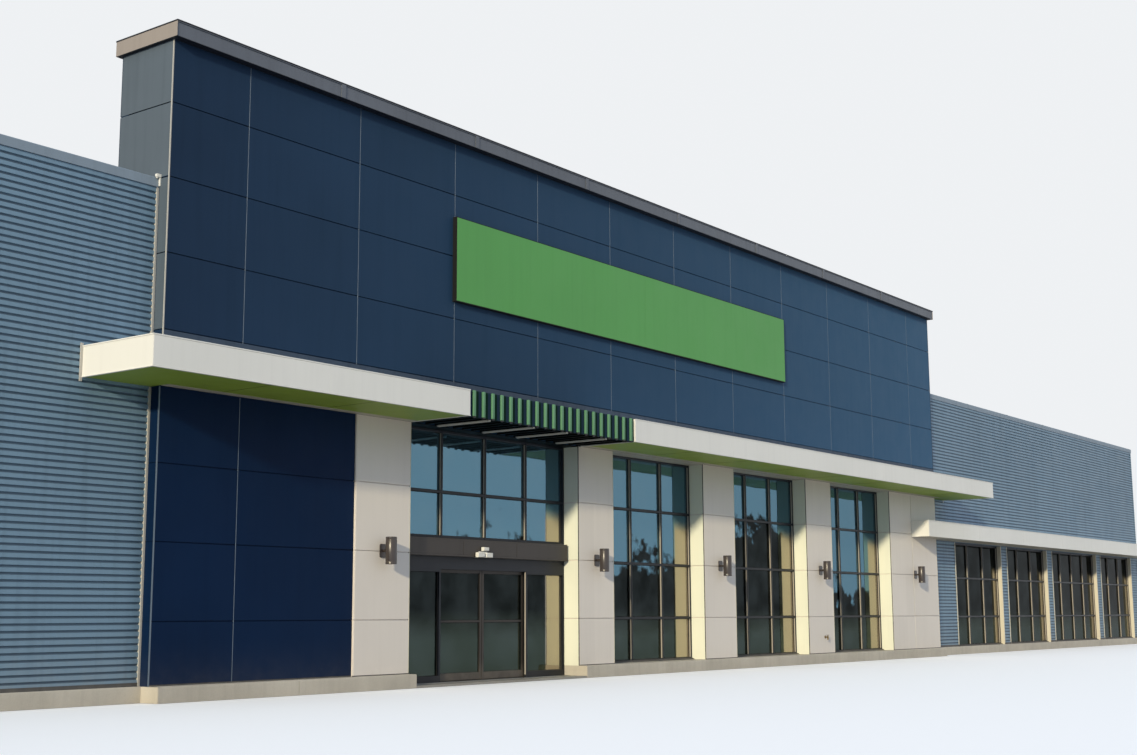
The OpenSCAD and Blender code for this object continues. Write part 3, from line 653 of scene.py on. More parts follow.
# Each finish: what makes it, its colour, and where it differs from the maker's own values
FINISHES = {
    # Raised front and the blank wall at the corner
    # The navy panels carry a painted sky reflection that grows towards the east
    "navy_panel": (painted, "navy", dict(
        roughness=0.5, specular=0.08, streaks=0.10, patches=0.07, dust=0.0, wave_scale=1.3,
        spread=0.16, cell=(TOWER_X[1] - TOWER_X[0], TOWER_Z[1] - TOWER_Z[0]),
        start=(TOWER_X[0], TOWER_Z[0]), overlays=[(painted_sky_sheen, (66, 110, 146))])),
    # Darker copy of the navy for the blank corner wall: painted shade of the canopy
    "navy_wall": (painted, "navy_wall", dict(
        roughness=0.5, specular=0.07, patches=0.10, dust=0.06, dust_top=0.5, wave_scale=1.3)),
    # Lighter, greyer copy of the navy for the ends of the raised front: painted sunlight
    "navy_end": (painted, "navy_end", dict(
        roughness=0.5, specular=0.2, streaks=0.10, patches=0.07)),
    "navy_band": (painted, "navy_band", dict(
        roughness=0.5, specular=0.2, streaks=0.25, patches=0.08)),
    "joint_strip": (painted, (104, 118, 134), dict(roughness=0.4, metallic=0.3, dust=0.0)),
    "dark_coping": (painted, "coping", dict(
        roughness=0.42, streaks=0.12, patches=0.08, spread=0.14, cell=(2.44, 9.0))),
    # Near black: the dark hem on the coping's top edge, and painted shade under the coping
    "coping_hem": (painted, (18, 21, 30), dict(roughness=0.5, dust=0.0)),
    # Lighter copy of the coping for its ends: painted sunlight
    "coping_end": (painted, (146, 138, 132), dict(roughness=0.42)),
    # Wings
    "ribbed_siding": (painted, "siding", dict(
        roughness=0.42, metallic=0.15, streaks=0.14, patches=0.05, dust=0.25, dust_top=0.8,
        waves=0.6, wave_scale=0.9, spread=0.05, cell=(0.61, 9.0),
        overlays=[(rib_groove_shade, (36, 50, 68))])),
    "wing_coping": (painted, (134, 149, 164), dict(roughness=0.5, specular=0.15, streaks=0.1)),
    "siding_trim": (painted, (186, 184, 178), dict(roughness=0.4, streaks=0.1, dust=0.2)),
    "dark_flashing": (painted, (58, 60, 64), dict(streaks=0.2, dust=0.3, dust_top=0.3)),
    "roof_membrane": (painted, (150, 150, 148), dict(
        roughness=0.7, specular=0.25, dust=0.0, streaks=0.0, patches=0.08, wave_scale=1.5,
        peel=0.6, spread=0.06, cell=(6.0, 9.0))),
    # Piers
    "pier_panel": (painted, "pier", dict(
        roughness=0.5, streaks=0.03, patches=0.03, dust=0.25, dust_top=0.4, waves=0.7,
        spread=0.05, cell=(0.71, 0.6), start=(-5.2, 0.0))),
    # Lighter, yellower copy of the pier paint for the pier sides: painted sunlight
    "pier_side": (painted, (232, 235, 219), dict(
        roughness=0.5, streaks=0.03, patches=0.03, dust=0.25, dust_top=0.4, waves=0.7)),
    "cream_trim": (painted, (214, 208, 190), dict(streaks=0.12, dust=0.2)),
    # Windows and doors
    "window_bars": (painted, (16, 21, 31), dict(
        roughness=0.4, streaks=0.05, dust=0.04, dust_top=0.1, waves=0.2, peel=0.05)),
    # Pale plates on the west sides of the bars: painted sunlight
    "bar_side": (painted, (166, 160, 150), dict(
        roughness=0.5, streaks=0.1, dust=0.05, waves=0.2)),
    "gasket": (painted, (14, 14, 15), dict(roughness=0.7, waves=0.1)),
    "header_metal": (painted, (66, 62, 60), dict(roughness=0.4, metallic=0.2, streaks=0.1)),
    "header_end": (painted, (84, 74, 66), dict(roughness=0.5, streaks=0.2)),
    "track_metal": (painted, (150, 152, 154), dict(roughness=0.35, metallic=0.8, dust=0.05)),
    "door_frame": (painted, "door", dict(
        roughness=0.36, metallic=0.35, streaks=0.06, dust=0.25, dust_top=0.25, waves=0.2,
        peel=0.05)),
    # Canopies and fins
    "canopy_white": (painted, "canopy", dict(
        roughness=0.42, specular=0.35, streaks=0.04, patches=0.03, dust=0.0, waves=0.8,
        wave_scale=1.1)),
    "soffit_green": (painted, "soffit", dict(
        roughness=0.5, dust=0.0, streaks=0.0, patches=0.10, spread=0.06,
        cell=(SOFFIT_SHEET, 9.0))),
    "soffit_grey": (painted, (182, 178, 166), dict(
        roughness=0.5, dust=0.0, streaks=0.0, patches=0.08)),
    "baffle_black": (painted, (5, 9, 11), dict(
        roughness=0.6, specular=0.05, dust=0.0, streaks=0.0,
        overlays=[(baffle_fronts, (34, 50, 68)), (painted_fin_shade, (10, 42, 29))])),
    "fin_green": (painted, "fin", dict(
        roughness=0.42, dust=0.0, streaks=0.05, patches=0.06, waves=0.3,
        overlays=[(fin_caps, (18, 22, 26))])),
    # Lamps, fittings and sign
    "light_diffuser": (painted, (232, 234, 230), dict(roughness=0.55, dust=0.0, streaks=0.0)),
    "lamp_bronze": (painted, (54, 47, 45), dict(
        roughness=0.34, specular=0.7, dust=0.0, streaks=0.04, waves=0.1, peel=0.05)),
    "lamp_lens": (painted, (214, 210, 198), dict(
        roughness=0.4, dust=0.0, streaks=0.0, waves=0.1)),
    "fixture_white": (painted, (226, 226, 222), dict(
        roughness=0.4, dust=0.0, streaks=0.05, waves=0.1)),
    "tap_brass": (painted, (128, 108, 66), dict(roughness=0.35, metallic=0.9, waves=0.1)),
    "sign_green": (painted, "sign", dict(
        streaks=0.05, patches=0.03, dust=0.0, waves=0.8, wave_scale=0.8)),
    # Kerb and floor slab
    "concrete": (concrete, "kerb", dict(clouds=0.10, pores=0.3, roughness=0.85)),
    "floor_concrete": (concrete, (150, 148, 143), dict(clouds=0.12, pores=0.1, roughness=0.5)),
}


def finish(name):
    """The finish of that name, made when it is first asked for."""
    label = f"building {name}".replace("_", " ")
    if label in bpy.data.materials:
        return bpy.data.materials[label]
    if name == "glazing":
        return glazing(label)
    make, colour, values = FINISHES[name]
    return make(label, colour, **values)


# Settings

def colour_setting(name, description, red, green, blue):
    """A colour setting with its default in sRGB."""
    return FloatVectorProperty(name=name, description=description, subtype="COLOR",
                               default=shade(red, green, blue))


def length_setting(name, description, default):
    """A length in metres."""
    return FloatProperty(name=name, description=description, subtype="DISTANCE", default=default)


def light_setting(name, description, *default):
    """A linear colour of the light or of the stage."""
    return FloatVectorProperty(name=name, description=description, subtype="COLOR",
                               default=default)


def angle_setting(name, description, degrees):
    """An angle with its default in degrees."""
    return FloatProperty(name=name, description=description, subtype="ANGLE",
                         default=math.radians(degrees))


class BUILDING_PG_colours(PropertyGroup):
    """Main colours of the building."""
    navy: colour_setting("Navy", "Panels of the raised front", 29, 49, 74)
    # Painted shade: the corner wall under the canopy is a darker copy of the navy
    navy_wall: colour_setting("Navy wall", "Blank wall at the corner", 8, 32, 63)
    # Painted sunlight: the ends are a lighter copy of the navy
    navy_end: colour_setting("Navy ends", "Ends of the raised front", 84, 96, 108)
    navy_band: colour_setting("Navy band", "Flashing over the canopy", 58, 72, 90)
    coping: colour_setting("Coping", "Coping of the raised front", 95, 101, 112)
    siding: colour_setting("Siding", "Ribbed siding of the wings", 114, 142, 164)
    pier: colour_setting("Piers", "Cladding of the piers", 228, 221, 213)
    canopy: colour_setting("Canopy", "Fascia of the canopies", 230, 230, 226)
    soffit: colour_setting("Soffit", "Soffit of the canopy", 140, 164, 64)
    fin: colour_setting("Fins", "Fins over the entrance", 89, 138, 104)
    sign: colour_setting("Sign", "Sign board", 86, 156, 82)
    door: colour_setting("Doors", "Stiles of the door leaves", 60, 56, 54)
    # Painted reflections in the glass: sky in the upper panes, a dark skyline in the lower ones
    glass_sky_reflection: colour_setting("Glass above", "Tint of the upper panes", 102, 142, 162)
    glass_skyline_reflection: colour_setting("Glass below", "Tint of the lower panes", 20, 26, 26)
    kerb: colour_setting("Kerb", "Cast kerb at the foot of the walls", 196, 190, 178)


class BUILDING_PG_sizes(PropertyGroup):
    """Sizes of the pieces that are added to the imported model."""
    proud: length_setting("Panel proud", "How far panels stand off the wall", 0.003)
    panel_edge: length_setting("Panel edge", "Radius of a panel's folded edge", 0.0025)
    joint_strip_w: length_setting("Joint strip", "Width of the upright strips", 0.0055)
    corner_leg: length_setting("Corner trim", "Leg of the corner angles", 0.0055)
    sleeve_w: length_setting("Coping sleeve", "Width of a coping's cover plates", 0.05)
    coping_step: length_setting("Coping length", "Length of one piece of coping", 1.83)
    pane_bow: length_setting("Pane bow", "How far a pane swells in its middle", 0.0012)
    pane_lap: length_setting("Pane lap", "How far a pane runs behind its bars", 0.008)
    cap_depth: length_setting("Bar cap", "How far the caps stand off the bars", 0.0045)
    bead: length_setting("Canopy bead", "Height of the beads along a fascia", 0.010)
    kerb_step: length_setting("Kerb length", "Length of one cast of the kerb", 1.5)
    seam_step: length_setting("Roof sheet", "Width of one roofing sheet", 1.9)


class BUILDING_PG_stage(PropertyGroup):
    """Light, floor and camera."""
    sun: FloatProperty(name="Sun", description="Strength of the low sun", min=0, default=3.15)
    sun_size: angle_setting("Sun size", "Angle that the sun fills", 3)
    sun_colour: light_setting("Sun colour", "Colour of the low sun", 1.0, 0.87, 0.62)
    sun_way: FloatVectorProperty(name="Sun direction", description="The way the light travels",
                                 subtype="DIRECTION", default=(3.0, 1.0, -0.9))
    fill: light_setting("Fill", "Soft light from all round", 0.49, 0.58, 0.73)
    backdrop: light_setting("Backdrop", "Colour behind the building", 0.86, 0.88, 0.90)
    floor: light_setting("Floor", "Colour of the floor", 0.86, 0.86, 0.86)
    floor_lift: FloatProperty(name="Floor lift", description="Brightness added to the floor",
                              default=0.26)
    ground: light_setting("Ground", "Colour that the floor throws back", 0.42, 0.39, 0.33)
    camera: FloatVectorProperty(name="Camera", description="Place of the camera",
                                subtype="TRANSLATION", default=(-14.602, -17.9945, 0.6325))
    yaw: angle_setting("Yaw", "Turn of the camera towards +X", 53.3)
    pitch: angle_setting("Pitch", "Tilt of the camera upwards", 8.989)
    roll: angle_setting("Roll", "Roll of the camera", -0.269)
    lens: FloatProperty(name="Lens", description="Focal length in millimetres on a 36 mm sensor",
                        default=47.61)


class BUILDING_PG_settings(PropertyGroup):
    """All settings of the building."""
    colours: PointerProperty(type=BUILDING_PG_colours)
    sizes: PointerProperty(type=BUILDING_PG_sizes)
    stage: PointerProperty(type=BUILDING_PG_stage)


# Pieces

def corner_angle(x, y, right, bottom, top):
    """The angle over the corner of a clad wall, with one leg along right."""
    sizes = bpy.context.scene.building.sizes
    proud = sizes.proud + 0.0015
    return posts(angle(sizes.corner_leg + sizes.proud, TRIM), x - right[0] * proud, y - proud,
                 bottom, top, right)


def joint_strips(node, bottom, top):
    """A rounded strip in each upright groove of a clad wall."""
    sizes = bpy.context.scene.building.sizes
    return posts(rounded(sizes.joint_strip_w, TRIM, 0.001), grooves(node, 0),
                 box(node)[0][1] - sizes.proud + 0.0035, bottom, top)


def sleeves(lo, hi, axis=0, radius=0.002, lift=0.0):
    """Cover plates round a coping that runs along an axis, one over each of its joints."""
    sizes = bpy.context.scene.building.sizes
    along, across = (EAST, NORTH) if axis == 0 else (NORTH, EAST)
    size = hi - lo
    joints = spaced(lo[axis], hi[axis], sizes.coping_step)
    starts = np.tile((lo + hi) / 2 + lift * UP, (joints.size, 1))
    starts[:, axis] = joints - sizes.sleeve_w / 2
    profile = rounded(size[1 - axis] + 0.003, size[2] + 0.002, radius)
    return bars(profile, starts, starts + along * sizes.sleeve_w, across)


class BUILDING_OT_tower_panels(Operator):
    """Clad the raised front, its ends and its back with folded panels"""
    bl_idname = "building.tower_panels"
    bl_label = "Tower panels"

    def execute(self, context):
        leg = context.scene.building.sizes.corner_leg
        lo, hi = box("tower_face")
        first_joint = TOWER_Z[0]
        columns = fields("tower_face", 0, lo[0] + leg, hi[0] - leg)
        rows = fields("tower_face", 2, first_joint + GROOVE / 2)
        piece("tower_front_panels", "navy_panel", [cladding(columns, rows, lo[1])])
        band = lengths(columns[0][0], columns[1][-1], BAND, 0.003)
        levels = [box("canopy_left")[1][2] + PLAY], [first_joint - GROOVE / 2]
        piece("tower_base_band", "navy_band", [cladding(band, levels, lo[1])])
        # The ends show in full depth over the wings, and as a narrow return in front of them. Their
        # lighter, greyer navy is painted sunlight
        wing_lo, wing_hi = box("left_wing_coping")
        back = box("tower_back")[1][1]
        low = rows[0] < wing_hi[2] - 0.1
        sides = ((([lo[1] + leg], [back - GROOVE]), fields("tower_face", 2, wing_hi[2] + PLAY)),
                 (([lo[1] + leg], [wing_lo[1] - PLAY]), (rows[0][low], rows[1][low])))
        piece("tower_end_panels", "navy_end",
              [cladding(*side, face, 0, way) for face, way in ((lo[0], -1), (hi[0], 1))
               for side in sides])
        back_rows = fields("tower_back", 2, box("roof_deck")[1][2] + 0.205)
        piece("tower_back_panels", "navy_panel",
              [cladding(fields("tower_back", 0), back_rows, back, 1, 1)])
        return {"FINISHED"}


class BUILDING_OT_tower_trim(Operator):
    """Add the joint strips, corner angles and coping covers of the raised front"""
    bl_idname = "building.tower_trim"
    bl_label = "Tower trim"

    def execute(self, context):
        lo, hi = box("tower_face")
        bottom = box("canopy_left")[1][2] + PLAY
        piece("tower_joint_strips", "joint_strip", [joint_strips("tower_face", bottom, hi[2])])
        # The west corner angle takes the pale trim and the east one the dark band: painted sunlight
        # on the west corner
        for name, finish_name, x, right in (("west", "siding_trim", lo[0], EAST),
                                            ("east", "navy_band", hi[0], -EAST)):
            piece(f"tower_corner_{name}", finish_name,
                  [corner_angle(x, lo[1], right, bottom, hi[2])])
        self.cover_coping(context.scene.building.sizes.proud)
        return {"FINISHED"}

    @staticmethod
    def cover_coping(proud):
        """Cover plates, end plates in a lighter copy of the coping that paints sunlight, the dark
        hem along the top, and a black plate underneath that paints the shade under the coping.
        """
        lo, hi = box("tower_coping")
        piece("tower_coping_covers", "dark_coping", [sleeves(lo, hi, 0, 0.003, 0.0005)])
        hem = rounded(0.006, 0.012, 0.002) + (0.0005, -0.004)
        corners = [(lo[0], lo[1]), (hi[0], lo[1]), (hi[0], hi[1]), (lo[0], hi[1])]
        piece("tower_coping_hem", "coping_hem", [rails(hem, corners, hi[2], True)])
        # The end plates take a lighter copy of the coping: painted sunlight
        piece("tower_coping_ends", "coping_end",
              [slabs((x, x + 0.0015 + SINK), (lo[1] + 0.001, hi[1] - 0.001),
                     (lo[2] + 0.001, hi[2] - 0.011), 0.001, (0, way))
               for x, way in ((lo[0] - 0.0015, -1), (hi[0] - SINK, 1))])
        # A black plate under the coping's overhang paints the shade beneath it
        face_lo, face_hi = box("tower_face")
        face_hi[1] = box("tower_back")[1][1]
        (west, south), (east, north) = (face_lo - proud)[:2], (face_hi + proud)[:2]
        (x0, y0), (x1, y1) = (lo + 0.003)[:2], (hi - 0.003)[:2]
        under = np.array([(x0, x1, y0, south), (x0, x1, north, y1), (x0, west, south, north),
                          (east, x1, south, north)]).T
        piece("tower_coping_painted_shade", "coping_hem",
              [slabs(under[:2], under[2:], (lo[2] - 0.002, lo[2] + SINK), 0.001, (2, -1))])


class BUILDING_OT_navy_corner(Operator):
    """Clad the blank wall at the left corner"""
    bl_idname = "building.navy_corner"
    bl_label = "Navy corner"

    def execute(self, context):
        lo, hi = box("navy_wall")
        foot_z = 0.012
        leg = context.scene.building.sizes.corner_leg
        columns = fields("navy_wall", 0, lo[0] + leg, hi[0] - 0.002)
        rows = fields("navy_wall", 2, lo[2] + foot_z, hi[2])
        # These panels take the darker navy, which paints the canopy's shade
        piece("navy_wall_panels", "navy_wall", [cladding(columns, rows, lo[1])])
        piece("navy_wall_trim", "joint_strip",
              [corner_angle(lo[0], lo[1], EAST, lo[2], hi[2]),
               joint_strips("navy_wall", lo[2], hi[2])])
        piece("navy_wall_foot", "dark_flashing",
              [beams(strip(-0.004, 0, 0.004, foot_z), (lo[0], hi[0]), lo[1], lo[2])])
        return {"FINISHED"}


class BUILDING_OT_pier_panels(Operator):
    """Clad the five piers and trim their corners"""
    bl_idname = "building.pier_panels"
    bl_label = "Pier panels"

    def execute(self, context):
        front_y = box("bay_piers")[0][1]
        outer = np.concatenate([edges(node, 0)[[0, 3, 4, 7]]
                                for node in ("entrance_piers", "bay_piers")])
        corner_lo, corner_hi = box("corner_pier")
        seam = grooves("corner_pier", 0)[0]
        starts = np.append(outer[0::2], [corner_lo[0], seam + GROOVE / 2])
        ends = np.append(outer[1::2], [seam - GROOVE / 2, corner_hi[0]])
        rows = fields("bay_piers", 2)
        bottom, top = rows[0][0], rows[1][-1]
        columns = starts + TRIM, ends - TRIM
        columns[0][-1], columns[1][-2] = starts[-1], ends[-2]
        piece("pier_front_panels", "pier_panel", [cladding(columns, rows, front_y)])
        west = starts[:-1][starts[:-1] > box("navy_wall")[1][0]]
        frame_y, wing_y = box("window_frames")[0][1], box("right_wing_piers")[0][1]
        sides = [(x, -1, frame_y) for x in west] + [(x, 1, frame_y) for x in ends[:-2]]
        sides.append((ends[-1], 1, wing_y - PLAY))
        # The sides take a lighter, yellower copy of the pier paint: painted sunlight
        piece("pier_side_panels", "pier_side",
              [cladding(([front_y + TRIM + 0.001], [end_y]), rows, x, 0, way)
               for x, way, end_y in sides])
        proud = context.scene.building.sizes.proud
        trim = rounded(TRIM + 0.002, TRIM + 0.002, 0.002)
        piece("pier_corner_trim", "cream_trim",
              [posts(trim, np.delete(ends, -2) - TRIM / 2 + 0.001, front_y - proud + 0.003,
                     bottom, top)])
        reveal = strip(-0.001, -0.001, TRIM + 0.001, TRIM + 0.002)
        piece("pier_corner_reveals", "dark_flashing", [posts(reveal, west, front_y, bottom, top)])
        foot = strip(-0.0045, 0, 0.002, 0.010)
        piece("pier_feet", "dark_flashing",
              [beams(foot, (starts - 0.0045, ends + 0.0045), front_y, bottom)])
        return {"FINISHED"}


def glaze(name, lo, hi, glass_node, lap, bow, gasket, slot="window_bars", body="building"):
    """Panes behind a set of clear openings, and the gaskets that hold them in front."""
    glass_lo, glass_hi = box(glass_node)
    pane_lo, pane_hi, seat = lo - lap, hi + lap, lo.copy()
    pane_lo[:, 1], pane_hi[:, 1], seat[:, 1] = glass_lo[1], glass_hi[1], glass_lo[1]
    piece(f"{name}_panes", "glazing", [panes(pane_lo, pane_hi, bow)], body=body,
          stands_for=(glass_node,))
    piece(f"{name}_gaskets", "gasket", [hoops(np.array(gasket), seat, hi)], body)


class BUILDING_OT_shop_glazing(Operator):
    """Glaze the shop windows, the wing windows and the entrance"""
    bl_idname = "building.shop_glazing"
    bl_label = "Glazing"

    GASKET = [(0.001, 0.0), (-0.004, 0.0), (-0.005, -0.003), (-0.002, -0.007), (0.001, -0.007)]
    SILL = np.array([(0.0, 0.0), (0.0, 0.022), (-0.034, 0.008), (-0.036, 0.006), (-0.036, 0.0)])

    def execute(self, context):
        self.sizes = context.scene.building.sizes
        for name, frame_node, glass_node in (("shop_window", "window_frames", "window_glass"),
                                             ("wing_window", "wing_window_frames", "wing_glass")):
            self.glaze_windows(name, frame_node, glass_node)
        self.glaze_entrance()
        top = box("tower_face")[0]
        front = box("window_frames")[0][1]
        for name, places, finish_name, slot in (
                ("window_heads", edges("window_glass", 0), "soffit_grey", "soffit_grey"),
                ("entrance_head", edges("entrance_glass", 0)[[0, -1]], "baffle_black",
                 "window_bars")):
            piece(name, finish_name, [slabs(pairs(places), (top[1] + 0.001, front),
                                            (top[2] - 0.005, top[2] + SINK), 0.001, (2, -1))])
        return {"FINISHED"}

    def dress_bars(self, name, uprights, levels, face_y, width, sides):
        """Rounded caps over every bar, and pale plates on the west sides of the inner bars that
        paint those sides sunlit.

        uprights is their x, bottom and top, and levels the ends of the level bars and their z.
        sides is the x, bottom and top of the pale painted sunlit sides and the y where they end.
        """
        cap = 2 * self.sizes.cap_depth
        x, bottom, top = uprights
        shapes = [posts(rounded(width, cap, 0.002), x, face_y, bottom, top)]
        shapes += [beams(rounded(cap - 0.003, width, 0.002), levels[0], face_y, z)
                   for z in levels[1]]
        piece(f"{name}_caps", "window_bars", shapes)
        x, bottom, top, glass_y = sides
        piece(f"{name}_bar_sides", "bar_side",
              [slabs((x - 0.0012, x + 0.001), (face_y + 0.001, glass_y - 0.0075), (bottom, top),
                     0.0004, (0, -1))])

    def glaze_windows(self, name, frame_node, glass_node):
        """Panes, caps and a sloping sill in each window of one kind."""
        glaze(name, *lights(frame_node, glass_node), glass_node, self.sizes.pane_lap,
              self.sizes.pane_bow, self.GASKET)
        (_, face_y, bottom), (_, _, top) = box(frame_node)
        glass = pairs(edges(glass_node, 0))
        bar_x, bar_z = (edges(frame_node, axis).reshape(-1, 2) for axis in (0, 2))
        inner = bar_x[~np.isin(bar_x[:, 0], glass[0]), 0]
        self.dress_bars(name, (bar_x.mean(axis=1), bottom, top), (glass, bar_z.mean(axis=1)),
                        face_y, bar_x[0][1] - bar_x[0][0] - 0.004,
                        (inner, bottom + 0.03, top - 0.03, box(glass_node)[0][1]))
        piece(f"{name}_sills", "dark_flashing", [beams(self.SILL, glass, face_y, bottom)])

    def glaze_entrance(self):
        """Panes and caps over the doorway and in the sidelights beside it."""
        depth = box("entrance_frame")[:, 1]
        header_top, top = box("entrance_header")[1][2], box("entrance_frame")[1][2]
        bar_x = edges("entrance_frame", 0).reshape(-1, 2)
        over_z = edges("entrance_frame", 2)
        over_z = over_z[over_z > header_top][:-1].reshape(-1, 2)
        side_x, side_z = edges("sidelight_frames", 0), edges("sidelight_frames", 2)
        over = tiles(bar_x.ravel()[1:-1].reshape(-1, 2).T, over_z.T, depth)
        beside = tiles(side_x[[1, 2, 5, 6]].reshape(2, 2).T, side_z[[1, 2], None], depth)
        lo, hi = (np.concatenate(corners) for corners in zip(over, beside))
        glaze("entrance", lo, hi, "entrance_glass", self.sizes.pane_lap, self.sizes.pane_bow,
              self.GASKET)
        inner = np.append(bar_x[1:-1, 0], side_x[4])
        low, high = np.full((2, inner.size), [[header_top + 0.03], [top - 0.03]])
        low[-1], high[-1] = side_z[0] + 0.03, side_z[-1] - 0.005
        middles = bar_x.mean(axis=1)
        levels = (over_z[0][1] + over_z[1][0]) / 2, over_z[-1][1] + 0.0125
        self.dress_bars("entrance", (middles, header_top, top), (middles[[0, -1]], levels),
                        depth[0], 0.021, (inner, low, high, box("entrance_glass")[0][1]))


class BUILDING_OT_entrance(Operator):
    """Case the door operator and dress the two sliding leaves"""
    bl_idname = "building.entrance"
    bl_label = "Entrance"

    GASKET = [(0.0, 0.001), (-0.004, 0.001), (-0.004, -0.003), (0.0, -0.005)]

    def execute(self, context):
        lo, hi = box("entrance_header")
        size, middle = hi - lo, (lo + hi) / 2
        end_t, lip, cover_w, cover_gap = 0.006, 0.002, 0.8, 0.006
        piece("header_casing", "header_metal",
              [beams(rounded(size[1], size[2], 0.006), (lo[0] + end_t, hi[0] - end_t),
                     middle[1], middle[2])], stands_for=("entrance_header",))
        piece("header_end_plates", "header_end",
              [slabs((x, x + end_t), (lo[1] - lip, hi[1]), (lo[2] - lip, hi[2] + lip), 0.002,
                     (0, way)) for x, way in ((hi[0] - end_t, 1), (lo[0], -1))])
        cover_x = lengths(lo[0] + 0.03, hi[0] - 0.03, cover_w, cover_gap)
        piece("header_covers", "header_metal",
              [plates(*tiles(cover_x, ([lo[2] + 0.02], [hi[2] - 0.02]),
                             (lo[1] - 0.0025, lo[1] + SINK)), 0.0015)])
        self.twin_light(TWIN_LIGHT_X, lo[1] - 0.0025, TWIN_LIGHT_Z)
        for side in ("left", "right"):
            self.dress_leaf(side)
        door_lo, door_hi = box("entrance_frame")
        front = box("left_door")[0][1]
        piece("threshold", "track_metal",
              [slabs((door_lo[0], door_hi[0]), (ridge, ridge + 0.009), (0.018, 0.0225), 0.001,
                     (2, 1)) for ridge in np.arange(front - 0.12, front - 0.02, 0.012)])
        return {"FINISHED"}

    @staticmethod
    def twin_light(x, y, z):
        """A white emergency light on the casing: a base, two square heads and a small one above."""
        middles, halves = np.array([-0.062, 0.062, 0.0135]), np.array([0.05, 0.05, 0.04])
        bottom, top = np.array([-0.023, -0.023, 0.041]), np.array([0.024, 0.024, 0.076])
        piece("twin_light", "fixture_white",
              [slabs((x - 0.06, x + 0.06), (y - 0.014, y + SINK), (z - 0.016, z + 0.034), 0.004),
               slabs((x + middles - halves, x + middles + halves), (y - 0.044, y - 0.008),
                     (z + bottom, z + top), 0.008)])

    def dress_leaf(self, side):
        """Stile and rail covers, panes and gaskets of one sliding leaf."""
        body, glass_node = f"{side}_leaf", f"{side}_door_glass"
        lo, hi = box(f"{side}_door")
        glass_lo, glass_hi = box(glass_node)
        levels = edges(glass_node, 2)
        stile = glass_lo[0] - lo[0]
        top = levels[-1] + stile * 2
        across, proud = (glass_lo[0], glass_hi[0]), 0.003
        cover = rounded(stile - 0.003, 2 * proud, 0.0015)
        stiles = np.array([lo[0] + glass_lo[0], glass_hi[0] + hi[0]]) / 2
        shapes = [posts(cover, stiles, lo[1], lo[2] + 0.002, top - 0.002),
                  beams(rounded(2 * proud - 0.001, 0.016, 0.0015), across, lo[1],
                        (levels[1] + levels[2]) / 2)]
        shapes += [slabs(across, (lo[1] - 0.002, lo[1] + SINK), rail, 0.0015)
                   for rail in ((lo[2] + 0.004, levels[0] - 0.006),
                                (levels[-1] + 0.006, top - 0.004))]
        piece(f"{body}_covers", "door_frame", shapes, body=body)
        openings = tiles((glass_lo[:1], glass_hi[:1]), pairs(levels), (glass_lo[1], glass_hi[1]))
        glaze(body, *openings, glass_node, 0.0, 0.0004, self.GASKET, "door_frame", body)


class BUILDING_OT_canopies(Operator):
    """Add beads, fascia sheets, wall trim and soffit seams to the canopies"""
    bl_idname = "building.canopies"
    bl_label = "Canopies"

    def execute(self, context):
        bead = context.scene.building.sizes.bead
        wing_y = box("left_wing_wall")[0][1]
        (west, tower_y, _), (east, _, _) = box("tower_face")
        (lo, hi), (right_lo, right_hi), (low_lo, low_hi) = (
            box(node) for node in ("canopy_left", "canopy_right", "low_canopy"))
        front, low_front = lo[1], low_lo[1]
        beads, sheets = [], []
        for start, end, step, path in (
                (lo, hi, SHEET, [(lo[0], wing_y), (lo[0], front), (hi[0], front)]),
                (right_lo, right_hi, SHEET, [(right_lo[0], front), (right_hi[0], front),
                                             (right_hi[0], wing_y)]),
                (low_lo, low_hi, LOW_SHEET, [(low_lo[0], tower_y), (low_lo[0], low_front),
                                             (low_hi[0], low_front), (low_hi[0], wing_y)])):
            bottom, top = start[2], end[2]
            for level, height in ((top + 0.001, bead), (bottom + bead * 0.7, bead * 0.8)):
                profile = rounded(0.008, height, 0.002) + (0.001, -height / 2)
                beads.append(rails(profile, path, level))
            columns = lengths(start[0] + 0.002, end[0] - 0.002, step, 0.0015)
            sheets.append(plates(*tiles(columns, ([bottom + bead], [top - bead]),
                                        (start[1] - 0.0015, start[1] + SINK)), 0.0008))
        rim, trim_w = 0.022, 0.09
        sides = np.array([lo[0] - rim, right_hi[0] - SINK])
        piece("canopy_beads", "canopy_white", beads)
        piece("canopy_end_strips", "siding_trim",
              [slabs((sides, sides + rim + SINK), (wing_y - 0.006, wing_y + SINK),
                     (lo[2] - 0.03, hi[2] + 0.02), 0.001)])
        piece("canopy_sheets", "canopy_white", sheets)
        trim = strip(-trim_w, -0.003, 0.0, 0.001)
        level = box("canopy_soffits")[0][2]
        low_soffit = box("low_soffit")
        piece("soffit_wall_trim", "soffit_grey",
              [beams(trim, (west, hi[0] - rim), tower_y, level),
               beams(trim, (right_lo[0] + rim, east), tower_y, level),
               beams(trim * (0.6, 1), (east, low_soffit[1][0]), wing_y, low_soffit[0][2])])
        joints = np.append(spaced(lo[0], hi[0], SOFFIT_SHEET),
                           spaced(right_lo[0], right_hi[0], SOFFIT_SHEET))
        piece("soffit_seams", "baffle_black",
              [bars(strip(-0.002, -0.001, 0.002, 0.001), at(joints, front + rim, level),
                    at(joints, tower_y - trim_w, level), EAST)])
        return {"FINISHED"}


